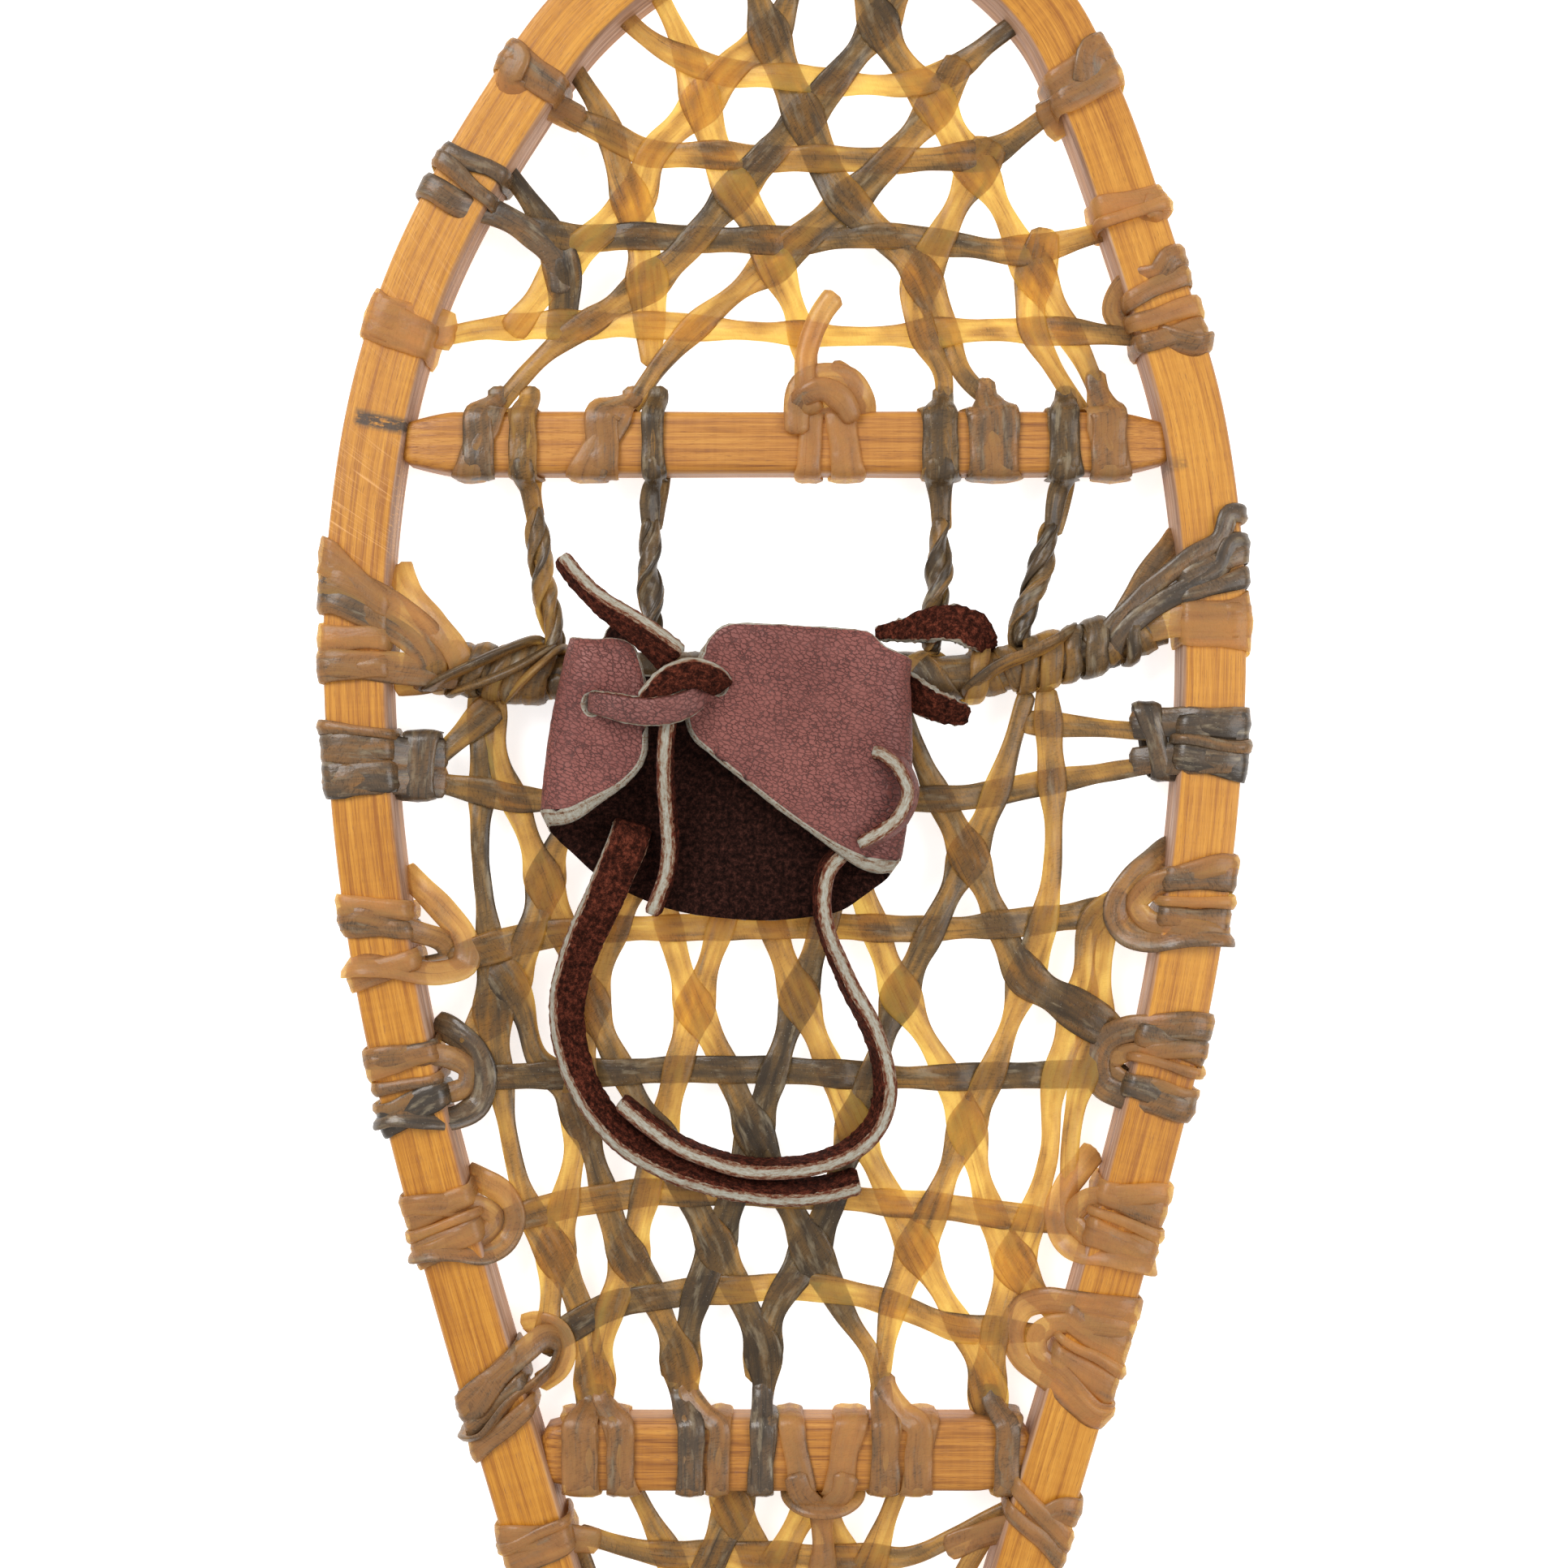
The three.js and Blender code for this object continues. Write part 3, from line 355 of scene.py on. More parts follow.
# ---------------------------------------------------------------- node graphs
class Graph:
    """A few words for building a material's nodes."""

    def __init__(self, name):
        self.material = bpy.data.materials.new(name)
        self.material.use_nodes = True
        self.tree = self.material.node_tree
        self.tree.nodes.clear()

    def node(self, kind, inputs=(), **settings):
        made = self.tree.nodes.new("ShaderNode" + kind)
        for key, value in settings.items():
            setattr(made, key, value)
        for key, value in dict(inputs).items():
            if isinstance(value, bpy.types.NodeSocket):
                self.tree.links.new(value, made.inputs[key])
            else:
                made.inputs[key].default_value = value
        return made

    def attribute(self, name, output="Fac"):
        return self.node("Attribute", attribute_name=name).outputs[output]

    def split(self, vector):
        return self.node("SeparateXYZ", {0: vector}).outputs

    def math(self, operation, a, b=0.0, c=0.0):
        return self.node("Math", {0: a, 1: b, 2: c}, operation=operation).outputs[0]

    def times(self, a, b, plus=0.0):
        return self.math("MULTIPLY_ADD", a, b, plus)

    def around(self, value, factor, plus):
        """How far the value is from 0.5, times the factor, plus a third."""
        return self.times(self.math("SUBTRACT", value, 0.5), factor, plus)

    def vectors(self, operation, a, b):
        return self.node("VectorMath", {0: a, 1: b}, operation=operation).outputs[0]

    def turned(self, vector, degrees):
        return self.node("Mapping", {"Vector": vector, "Rotation": (0, 0, math.radians(degrees))}).outputs[0]

    def noise(self, vector, scale, detail=2.0, roughness=0.5):
        """scale is one number, or one for each axis."""
        if isinstance(scale, tuple):
            vector, scale = self.vectors("MULTIPLY", vector, scale), 1.0
        inputs = {"Vector": vector, "Scale": scale, "Detail": detail, "Roughness": roughness}
        return self.node("TexNoise", inputs).outputs["Fac"]

    def voronoi(self, vector, scale, feature="F1"):
        inputs = {"Vector": vector, "Scale": scale}
        return self.node("TexVoronoi", inputs, feature=feature).outputs["Distance"]

    def span(self, value, low, high, to_low=0.0, to_high=1.0):
        """value from low to high becomes to_low to to_high, and stays between them."""
        inputs = {"Value": value, "From Min": low, "From Max": high, "To Min": to_low, "To Max": to_high}
        return self.node("MapRange", inputs, clamp=True).outputs["Result"]

    def ramp(self, value, *stops):
        made = self.node("ValToRGB", {"Fac": value})
        points = made.color_ramp.elements
        while len(points) < len(stops):
            points.new(0.5)
        for point, (at, colour) in zip(points, stops):
            point.position = at
            point.color = (*colour, 1)
        return made.outputs["Color"]

    def mix(self, factor, a, b):
        """Two colours. b may be a plain one."""
        b = (*b, 1) if isinstance(b, tuple) else b
        return self.node("Mix", {0: factor, 6: a, 7: b}, data_type="RGBA").outputs[2]

    def bump(self, height, strength, distance):
        inputs = {"Height": height, "Strength": strength, "Distance": distance}
        return self.node("Bump", inputs).outputs["Normal"]

    def shader(self, kind, **inputs):
        """A shader node. Inputs are named with _ for each space."""
        named = {key.replace("_", " "): value for key, value in inputs.items()}
        return self.node("Bsdf" + kind, named).outputs[0]

    def blend(self, factor, a, b):
        return self.node("MixShader", {0: factor, 1: a, 2: b}).outputs[0]

    def output(self, shader):
        self.node("OutputMaterial", {"Surface": shader})
        return self.material


def shaded(colour, factor):
    return tuple(c * factor for c in colour)


# ---------------------------------------------------------------- materials
def wood_material(name, light, middle, dark, coarse):
    """Varnished ash with rings and pores along the grain. Tone is weathering. Fade is wear above 0, and stain
    below it."""
    g = Graph(name)
    place = g.attribute("place", "Vector")
    weather, wear = g.attribute("tone"), g.attribute("fade")
    _, across, through = g.split(place)
    bands = g.times(g.noise(place, (0.006, 0.12, 0.12), 3), 9.0, g.times(across, coarse))
    rings = g.math("PINGPONG", g.times(through, coarse * 0.45, bands), 1.0)
    streaks = g.noise(place, (0.02, 1.1, 1.1), 6, 0.6)
    fine = g.noise(place, (0.09, 6.0, 6.0), 3, 0.6)
    curl = g.noise(place, (0.55, 0.05, 0.05), 2, 0.6)
    value = g.times(rings, 0.16, g.span(streaks, 0.3, 0.7, 0.0, 0.5))
    value = g.math("ADD", value, g.span(fine, 0.35, 0.65, 0.0, 0.26))
    value = g.around(g.noise(place, (0.012, 0.06, 0.06), 3), 0.5, value)
    value = g.math("ADD", value, g.span(curl, 0.4, 0.6, -0.025, 0.025))
    colour = g.ramp(value, (0.16, dark), (0.45, middle), (0.74, light))
    pores = g.span(g.noise(place, (0.3, 4.6, 4.6), 2, 0.7), 0.6, 0.7)
    pores = g.times(pores, g.span(rings, 0.1, 0.6, 0.25, 1.0))
    colour = g.mix(g.times(pores, 0.65), colour, (0.22, 0.07, 0.012))
    grey = g.ramp(g.noise(place, (0.03, 0.8, 0.8), 5, 0.65),
                  (0.3, (0.16, 0.075, 0.04)), (0.52, (0.40, 0.235, 0.16)), (0.7, (0.56, 0.40, 0.30)))
    patches = g.span(g.noise(place, (0.02, 0.3, 0.3), 3), 0.2, 0.6, 0.55, 0.95)
    colour = g.mix(g.times(weather, patches), colour, grey)
    lines = g.span(g.noise(g.turned(place, 62), (0.05, 2.6, 0.4), 2, 0.6), 0.56, 0.66)
    colour = g.mix(g.times(g.times(wear, lines), 0.55), colour, (0.90, 0.50, 0.19))
    smudge = g.span(g.noise(place, (0.9, 0.35, 0.3), 4, 0.7), 0.34, 0.5)
    colour = g.mix(g.times(g.span(wear, -0.2, -1.0), smudge), colour, (0.045, 0.03, 0.02))
    height = g.times(pores, -0.9, g.times(fine, 0.4, g.times(streaks, 0.6)))
    roughness = g.span(g.times(weather, 0.6, streaks), 0.3, 1.2, 0.34, 0.75)
    return g.output(g.shader("Principled", Base_Color=colour, Roughness=roughness, Coat_Weight=0.06,
                             Coat_Roughness=0.3, Normal=g.bump(height, 0.35, 0.0004)))


def rawhide_material(name, gloss, *shades):
    """Dried hide: clear amber where its tone is low, grey-brown and hairy where it is high. Light shines
    through it, most of all where it is stretched thin (fade)."""
    g = Graph(name)
    place = g.attribute("place", "Vector")
    cloud = g.noise(place, (0.11, 0.22, 0.2), 4, 0.6)
    streak = g.noise(place, (0.06, 0.5, 0.5), 3)
    line = g.noise(place, (0.035, 2.2, 1.6), 3, 0.6)
    value = g.around(streak, 1.0, g.around(cloud, 0.7, g.attribute("tone")))
    value = g.math("ADD", value, g.span(line, 0.58, 0.68, 0.0, 0.2))
    colour = g.ramp(value, *((k / 5, shade) for k, shade in enumerate(shades)))
    hairs = g.span(g.noise(g.turned(place, 20), (2.8, 0.7, 0.7), 3, 0.75), 0.52, 0.62)
    colour = g.mix(g.times(hairs, g.span(value, 0.25, 0.6, 0.12, 0.62)), colour, (0.06, 0.042, 0.026))
    pale = g.span(g.noise(place, (0.14, 0.5, 0.5), 4, 0.6), 0.54, 0.68)
    colour = g.mix(g.times(pale, g.span(value, 0.2, 0.6, 0.15, 0.5)), colour, (0.46, 0.37, 0.235))
    specks = g.times(g.span(g.voronoi(place, 1.3), 0.13, 0.07), g.span(cloud, 0.45, 0.6))
    colour = g.mix(g.times(specks, 0.5), colour, (0.80, 0.72, 0.58))
    height = g.times(g.noise(place, (0.5, 0.8, 0.8), 3), 0.5, g.times(streak, 0.5, g.times(specks, 0.15)))
    normal = g.bump(height, 0.5, 0.0005)
    surface = g.shader("Principled", Base_Color=colour, Roughness=g.span(cloud, 0.3, 0.7, 0.18, 0.36),
                       Specular_IOR_Level=gloss, Normal=normal)
    glow = g.shader("Translucent", Color=colour, Normal=normal)
    tint = g.ramp(value, (0.0, (1.0, 0.87, 0.45)), (0.35, (0.84, 0.66, 0.33)), (1.0, (0.45, 0.38, 0.27)))
    share = g.times(g.attribute("fade"), 0.16, g.span(value, 0.85, 0.0, 0.12, 0.46))
    lit = g.blend(g.span(value, 0.8, 0.0, 0.15, 0.5), surface, glow)
    return g.output(g.blend(share, lit, g.shader("Transparent", Color=tint)))


def leather_material(name, light, dark, nap_colour):
    """Leather: a grain side (tone 1), a suede side (tone 0), and pale cut edges (rim 1) with red borders."""
    g = Graph(name)
    place = g.attribute("place", "Vector")
    side, rim = g.attribute("tone"), g.attribute("rim")
    warped = g.vectors("ADD", g.vectors("MULTIPLY", place, (0.6, 1.0, 0.9)), g.noise(place, 1.6, 3))
    cells = g.voronoi(warped, 1.1, "DISTANCE_TO_EDGE")
    pits = g.times(g.span(cells, 0.13, 0.02), g.span(g.noise(place, 0.22, 3), 0.38, 0.58, 0.65, 1.0))
    mottle = g.noise(place, (0.5, 0.9, 0.7), 4, 0.65)
    grain = g.mix(g.span(g.noise(place, (0.045, 0.045, 0.045), 4, 0.55), 0.36, 0.64), (*dark, 1), light)
    grain = g.mix(g.times(g.span(mottle, 0.42, 0.66), 0.25), grain, shaded(light, 1.2))
    grain = g.mix(g.times(pits, 0.85), grain, shaded(dark, 0.3))
    nap = g.noise(place, (0.7, 0.7, 0.7), 7, 0.85)
    shades = (0.4, 0.25), (0.5, 1), (0.58, 3), (0.68, 5.5)
    suede = g.ramp(nap, *((at, shaded(nap_colour, factor)) for at, factor in shades))
    border = g.span(g.math("ABSOLUTE", g.split(place)[2]), 0.5, 1.1)
    fibre = g.times(border, -0.2, g.noise(place, (0.5, 1.9, 1.9), 5, 0.75))
    cut = g.ramp(fibre, (0.24, shaded(nap_colour, 2.6)), (0.34, (0.25, 0.135, 0.08)),
                 (0.44, (0.37, 0.32, 0.245)), (0.64, (0.5, 0.495, 0.43)))
    colour = g.mix(rim, g.mix(side, suede, grain), cut)
    roughness = g.math("MAXIMUM", g.span(side, 1.0, 0.0, 0.5, 0.95), g.times(rim, 0.9))
    fur = g.math("MAXIMUM", g.math("SUBTRACT", 1.0, side), rim)
    height = g.times(g.times(pits, -1.1), g.math("SUBTRACT", 1.0, fur), g.times(g.times(nap, fur), 2.2))
    normal = g.bump(g.times(mottle, 0.4, height), 0.55, 0.0005)
    return g.output(g.shader("Principled", Base_Color=colour, Roughness=roughness,
                             Specular_IOR_Level=g.span(fur, 0.0, 1.0, 0.45, 0.08), Normal=normal))


def floor_material():
    g = Graph("floor")
    coordinates = g.node("TexCoord").outputs["Object"]
    shade = g.mix(g.noise(coordinates, 3.0), (0.93, 0.93, 0.93, 1), (0.95, 0.95, 0.95))
    return g.output(g.shader("Principled", Base_Color=shade, Roughness=0.9, Specular_IOR_Level=0.1,
                             Emission_Color=(1, 1, 1, 1), Emission_Strength=0.7))


ASH = wood_material("ash", (0.66, 0.30, 0.034), (0.53, 0.215, 0.017), (0.33, 0.11, 0.008), 0.32)
BAR_ASH = wood_material("bar_ash", (0.57, 0.255, 0.042), (0.45, 0.175, 0.022), (0.23, 0.075, 0.01), 0.5)
RAWHIDE = rawhide_material(
    "rawhide", 0.45, (0.86, 0.62, 0.20), (0.68, 0.41, 0.12), (0.46, 0.245, 0.077), (0.23, 0.136, 0.058),
    (0.115, 0.073, 0.037), (0.06, 0.041, 0.025))
WAXED_RAWHIDE = rawhide_material(
    "waxed_rawhide", 0.7, (0.80, 0.50, 0.21), (0.64, 0.355, 0.14), (0.47, 0.24, 0.092), (0.25, 0.145, 0.07),
    (0.125, 0.082, 0.048), (0.06, 0.043, 0.029))
GRAIN_LEATHER = leather_material("grain_leather", (0.25, 0.078, 0.062), (0.178, 0.05, 0.04),
                                 (0.018, 0.006, 0.0042))
LACE_LEATHER = leather_material("lace_leather", (0.25, 0.085, 0.07), (0.16, 0.05, 0.04),
                                (0.046, 0.011, 0.006))


# ---------------------------------------------------------------- camera, light and floor
# These are in metres, as the scene is.
CAMERA_PLACE, CAMERA_LENS = (-0.0002, 0.1578, 0.536), 48.5
LAMPS = [("key", (-0.75, 0.95, 1.25), 17), ("fill", (0.95, 0.1, 1.15), 8)]
LAMP_SIZE, LAMP_TARGET = 0.9, (0, 0.15, 0)
WORLD_LIGHT, FLOOR_HALF = 0.62, 40.0


def add_object(name, data, place=(0, 0, 0)):
    made = bpy.data.objects.new(name, data)
    made.location = place
    bpy.context.scene.collection.objects.link(made)
    return made


def make_studio():
    """A camera straight above, an even white world, two lamps and a white floor that glows a little."""
    scene = bpy.context.scene
    camera = add_object("camera", bpy.data.cameras.new("camera"), CAMERA_PLACE)
    camera.data.lens = CAMERA_LENS
    camera.data.sensor_width = 36
    camera.data.clip_start = 0.01
    scene.camera = camera
    scene.view_settings.view_transform = "Standard"

    scene.world = bpy.data.worlds.new("studio")
    scene.world.use_nodes = True
    background = scene.world.node_tree.nodes["Background"].inputs
    background[0].default_value = (1, 1, 1, 1)
    background[1].default_value = WORLD_LIGHT

    for name, place, power in LAMPS:
        lamp = bpy.data.lights.new(name, "AREA")
        lamp.size = LAMP_SIZE
        lamp.energy = power
        aim = Vector(LAMP_TARGET) - Vector(place)
        add_object(name, lamp, place).rotation_euler = aim.to_track_quat("-Z", "Y").to_euler()

    mesh = bpy.data.meshes.new("floor")
    corners = [(x * FLOOR_HALF, y * FLOOR_HALF, 0) for x, y in ((-1, -1), (1, -1), (1, 1), (-1, 1))]
    mesh.from_pydata(corners, [], [(0, 1, 2, 3)])
    mesh.materials.append(floor_material())
    add_object("floor", mesh, (0, 0, -0.0004))


# ---------------------------------------------------------------- leather straps and laces
def strap(shape, route, width, thick, seed, fuzz=0.16, grain_up=False, widths=1.0):
    """A cut leather strap along [x, y, z, roll in degrees] points: flat at roll 0, on edge at 90."""
    line = smooth_line(route, 0.9)
    path = line[:, :3]
    s = arc(path)
    unit, narrow = block_section(width, thick, min(0.8, thick / 3), per=2, flat=4)
    size = (1 + 0.05 * rough(s, 0.12, seed)) * tapered(s, 0.75, 1.5)
    section = unit * size[:, None, None]
    section[..., 0] *= spread(widths, len(s))[:, None]
    grain = ((unit[:, 1] > 0) == grain_up) & ~narrow
    hairy = np.where(grain, 0.25, 1.0) * fuzz
    section = section + np.random.default_rng(seed).normal(0, 0.6, section.shape) * hairy[:, None]
    tone = np.broadcast_to(grain.astype(float), section.shape[:2])
    sweep(shape, path, section, s + seed * 41, tone, roll=np.radians(line[:, 3]), rim=narrow.astype(float))
    return path


def with_roll(points, rolls):
    """Adds a roll to each route point, from a short list spread evenly along it."""
    at = np.linspace(0, len(rolls) - 1, len(points))
    return [(*p, r) for p, r in zip(points, np.interp(at, np.arange(len(rolls)), rolls))]


HEEL_STRAP_WIDTH, LACE_WIDTH, STRAP_THICKNESS = 8.6, 5, 3.8
HEEL_STRAP_LEFT = [
    (-37.6, 147.6, 15.4), (-38.4, 143.4, 19.6), (-41.6, 136, 20.2), (-44.8, 128.6, 18.6), (-49, 120, 16.6),
    (-52.6, 110, 15), (-53.8, 101, 14.6), (-52.6, 92, 14.6), (-49.8, 84, 14.6), (-45.4, 76.6, 14.6),
    (-40, 70.6, 14.6), (-33.6, 66, 14.6), (-26.6, 62.6, 14.6), (-19, 60, 14.6), (-10.6, 58, 14.6),
    (-1.6, 57, 14.6), (8.4, 57.6, 14.6), (18.4, 60, 14.6),
]
HEEL_STRAP_RIGHT = [
    (14.6, 142, 19.8), (10.4, 137, 19.5), (9, 130, 19.2), (10.2, 122, 18.4), (13, 114.6, 16.2),
    (16.4, 107, 14.8), (20.4, 99.6, 14.6), (23.6, 91, 14.6), (24.8, 82, 14.6), (22.8, 74.4, 14.6),
    (17.4, 68.4, 14.6), (9.4, 64.6, 14.6), (0.4, 63, 14.6), (-9.6, 63.2, 14.6), (-18.6, 65.6, 14.6),
    (-26.6, 69, 14.6), (-33, 73.4, 14.6), (-40.6, 79.6, 14.6),
]
LACE_UPPER = [
    (-26.4, 189, 32.4), (-30, 192.4, 33.2), (-34.2, 195.8, 33.6), (-38.6, 199, 33), (-43, 202, 32.2),
    (-47, 205.6, 31.4), (-50.4, 209.4, 30.8), (-53.4, 213.4, 30.4),
]
LACE_LOWER = [
    (-27.4, 177, 31.6), (-28.4, 170, 31.2), (-28.8, 160, 28), (-28.4, 152, 25), (-28, 144, 22.6),
    (-28.8, 137, 21.4), (-30.8, 131, 21), (-32.6, 126.6, 20.9),
]


def free_strap(node, points, rolls, width, seed, seated=False, grain_up=False, widths=1.0):
    """A strap with a free end, laid along its route at its real length."""
    shape = Shape()
    route = with_roll(points, rolls)
    path = strap(shape, route, width, STRAP_THICKNESS, seed, grain_up=grain_up, widths=widths)
    name = node.removesuffix("_end") + "_leather"
    obj = shape.build(node, LACE_LEATHER, "lace_leather", "binding", seated, name)
    path = seat(path) if seated else path
    length = float(arc(path)[-1])


def make_straps():
    free_strap("heel_strap_left", HEEL_STRAP_LEFT, [10, 32, 52, 66, 77, 81, 81], HEEL_STRAP_WIDTH, 3,
               widths=[1.12, 1.12, 1.06, 1, 1, 1, 1])
    free_strap("heel_strap_right", HEEL_STRAP_RIGHT, [98, 99, 110, 113, 102, 98, 98], HEEL_STRAP_WIDTH, 4,
               grain_up=True)
    free_strap("toe_lace_upper_end", LACE_UPPER, [40, 48, 58, 64], LACE_WIDTH, 5, True,
               widths=[1.9, 1.6, 1.2, 1])
    free_strap("toe_lace_lower_end", LACE_LOWER, [88, 84, 84, 80], LACE_WIDTH, 6, True)


# ---------------------------------------------------------------- wood
def make_rail():
    """The bent rail, grey and weathered on its inner side, with worn and stained places on its top."""
    shape = Shape()
    unit, _ = block_section(RAIL_WIDTH, RAIL_THICKNESS, 1.5, per=4, flat=6)
    s = arc(RAIL)
    wear = np.array([[noise.noise((at * 0.03, x * 0.2, z * 0.2)) for x, z in unit] for at in s])
    section = unit * (1 + 0.006 * wear[..., None])
    across = unit[:, 0]
    weather = (across > RAIL_WIDTH / 2 - 0.8) + 0.18 * (across < 0.8 - RAIL_WIDTH / 2)
    left = (np.arange(len(RAIL)) < NOSE_INDEX)[:, None]

    def near(y, reach, power=2):
        return np.exp(-(((RAIL[:, 1:2] - y) / reach) ** power))

    scuff = (near(226, 15) + 0.35 * near(285, 30)) * left
    stain = near(247.2, 2.4, 4) * left * (across > -6) + 0.6 * near(237.8, 1.8, 4) * ~left * (across > 3)
    fade = np.where(stain > 0.25, -stain, scuff)
    sweep(shape, RAIL, section, s, np.broadcast_to(weather, fade.shape), fade)
    shape.build("bent_frame", ASH, "frame_wood", name="rail_ash")


def make_crossbar(node, y, seed):
    """A crossbar that grows narrower towards the rails, with a tenon at each end."""
    shape = Shape()
    x0 = rail_at(-1, y)[0][0] + RAIL_WIDTH / 2
    x1 = rail_at(1, y)[0][0] - RAIL_WIDTH / 2
    xs = np.arange(x0 - TENON, x1 + TENON + 0.01, 1.6)
    line = np.column_stack([xs, np.full(len(xs), y), np.full(len(xs), RAIL_MID)])
    unit, _ = block_section(2, 2, 0.36, per=4, flat=5)
    edge = np.minimum(xs - x0, x1 - xs)
    half = BAR_WIDTHS[y] / 2 - 2.6 * (1 - np.clip(edge / 12, 0, 1)) ** 1.3
    tall = BAR_THICKNESS / 2 - 0.6 * (1 - np.clip(edge / 8, 0, 1))
    half = np.where(edge < 0, TENON_HALF_WIDTH, half) + 0.25 * rough(xs, 0.02, seed)
    tall = np.where(edge < 0, TENON_HALF_HEIGHT, tall)
    section = unit * np.column_stack([half, tall])[:, None]
    weather = np.broadcast_to(0.25 * (np.abs(unit[:, 0]) > 0.9), section.shape[:2])
    sweep(shape, line, section, xs + seed * 300, weather)
    shape.build(node, BAR_ASH, "crossbar_wood")


# ---------------------------------------------------------------- webbing
# Each strand is a drawn line through [x, y, tone] points.
TOE_ACROSS = [
    [(-44, 352, .3), (-36, 344, .3), (-27, 338.4, .3), (-17, 335, .1), (6, 332.6, .08), (32, 331.4, .15),
     (42, 335, .45), (53, 343, .7), (64, 351, .7)],
    [(-62, 330, .6), (-55.6, 325, .5), (-45.6, 320, .45), (-35, 315, .25), (-19, 314, .4), (10, 313, .35),
     (42, 313.4, .5), (52, 315, .62), (68, 326, .5)],
    [(-76, 300, .8), (-65, 296.6, .8), (-55, 294, .6), (-37, 294, .7), (-1, 293, .55), (28, 294, .6),
     (44, 292, .65), (58, 290.4, .3), (84, 296.6, .25)],
    [(-86, 269, .12), (-73, 271.4, .12), (-33, 272, .1), (18, 269.4, .1), (56, 271, .2), (86, 269.4, .7)],
]
TOE_RIGHTWARD = [
    [(-34, 358, .15), (-24.6, 339, .1), (-20, 324, .15), (-14, 308, .15), (-7, 297, .3), (-2.4, 287, .15),
     (3.4, 273, .1), (6.4, 256, .2)],
    [(-9, 363, .6), (-5.8, 349, .6), (2.2, 329, .5), (6.8, 319, .6), (13.6, 305, .6), (32, 287, .5),
     (37.8, 276.4, .4), (44.6, 260, .5), (51, 254, .55)],
    [(17, 361, .7), (26.4, 340.6, .6), (36.6, 328, .2), (43.6, 316.6, .25), (51.6, 305, .12), (62, 285.6, .2),
     (73.4, 266, .25), (78, 256, .4)],
    [(-56, 340, .6), (-44.8, 322.4, .5), (-41.4, 311, .35), (-36.2, 296, .15), (-34.4, 283, .15),
     (-33.6, 266, .25)],
    [(-74, 316, .8), (-60, 297, .8), (-55.2, 284, .75), (-56, 272, .6)],
]
TOE_LEFTWARD = [
    [(4, 363, .75), (-2.4, 345, .6), (-12.8, 336, .25), (-22.6, 325, .15), (-33, 314, .15), (-37, 304, .2),
     (-44, 297, .2), (-53.6, 288.6, .15), (-66, 273, .15)],
    [(33, 360, .75), (22, 344, .65), (9, 328, .65), (-10.4, 307.4, .62), (-26.6, 289, .5), (-44.8, 275.2, .5),
     (-58.6, 266, .42), (-72, 251.5, .5)],
    [(42, 334, .5), (36.6, 324.6, .4), (18.2, 305, .6), (-1.2, 289, .4), (-20.8, 273, .3), (-31, 262.6, .4),
     (-38, 252, .45)],
    [(50, 314, .4), (42.4, 300.4, .3), (33.2, 280, .35), (34.4, 270, .35), (39.4, 260, .45), (39.4, 252, .5)],
    [(64.4, 292, .3), (61.4, 273, .2), (66.4, 262.6, .25), (72.2, 253.4, .3)],
]
BODY_ACROSS = [
    [(-86, 158, .6), (-75.6, 156, .6), (-65.6, 154, .55), (-23.6, 154, .5), (32.4, 154, .6),
     (46.4, 154.6, .55), (64.4, 158, .5), (88, 162, .5)],
    [(-80, 115, .5), (-65.6, 119, .5), (-53.6, 121, .45), (-23.6, 122, .3), (6.4, 122.4, .35),
     (36.4, 121.6, .5), (56.4, 123, .55), (82, 126, .55)],
    [(-77, 84.6, .6), (-53.6, 85.4, .7), (-21.6, 86.6, .8), (6.4, 86, .75), (26.4, 84.6, .6), (56.4, 85, .75),
     (82, 85.4, .8)],
    [(-68, 49.4, .45), (-53.6, 53, .4), (-33.6, 55.8, .45), (6.4, 55, .4), (26.4, 53.4, .25),
     (46.4, 51.4, .3), (69, 48, .35)],
    [(-58, 19, .7), (-45.6, 26.6, .85), (-31.6, 30, .6), (6.4, 32.2, .15), (18.4, 30.4, .3),
     (30.4, 26.6, .35), (42.4, 22.4, .35), (61, 21, .35)],
    [(63, 173, .5), (88, 171, .5)],
    [(-86, 165, .5), (-75, 175, .5)],
]
BODY_RIGHTWARD = [
    [(-76.2, 180, .6), (-75.6, 161, .7), (-76, 141, .7), (-74, 121, .6), (-71, 83.4, .45), (-64.4, 52.8, .4),
     (-57.6, 41.2, .45), (-51.2, 27, .4), (-46.6, 2, .35)],
    [(-73.6, 115, .6), (-66.2, 103.4, .65), (-61.6, 89, .6), (-53.6, 81, .6), (-41.2, 44, .6),
     (-33.6, 31, .6), (-26, 13, .5), (-25.6, 2, .4)],
    [(-73, 178, .4), (-71.2, 163, .35), (-65.6, 149, .2), (-48.6, 103, .45), (-40.6, 86, .65),
     (-17.4, 43, .7), (-10.6, 29, .65), (-5.6, 17, .85), (-5.6, 2, .75)],
    [(-46.6, 154, .3), (-34.6, 138, .25), (-23.4, 104, .15), (-17.6, 93, .3), (-7.6, 71, .85), (6.4, 42, .8),
     (15.4, 25, .65), (22.4, 14, .35), (24, 2, .3)],
    [(-23.6, 154, .25), (-9.6, 138, .25), (1.2, 110.4, .3), (18.4, 71, .15), (32.4, 43, .2), (42.4, 25, .2),
     (48.8, 13, .25), (51.4, 2, .3)],
    [(0.4, 154, .2), (15.4, 138, .2), (28.2, 106.8, .1), (42.4, 81, .1), (51.4, 51, .12), (58, 37, .15),
     (66, 27, .25)],
    [(29, 177, .75), (35.4, 161, .6), (48.4, 135, .45), (54.4, 121, .55), (60, 110, .65), (70.4, 103, .75),
     (83, 95, .75)],
]
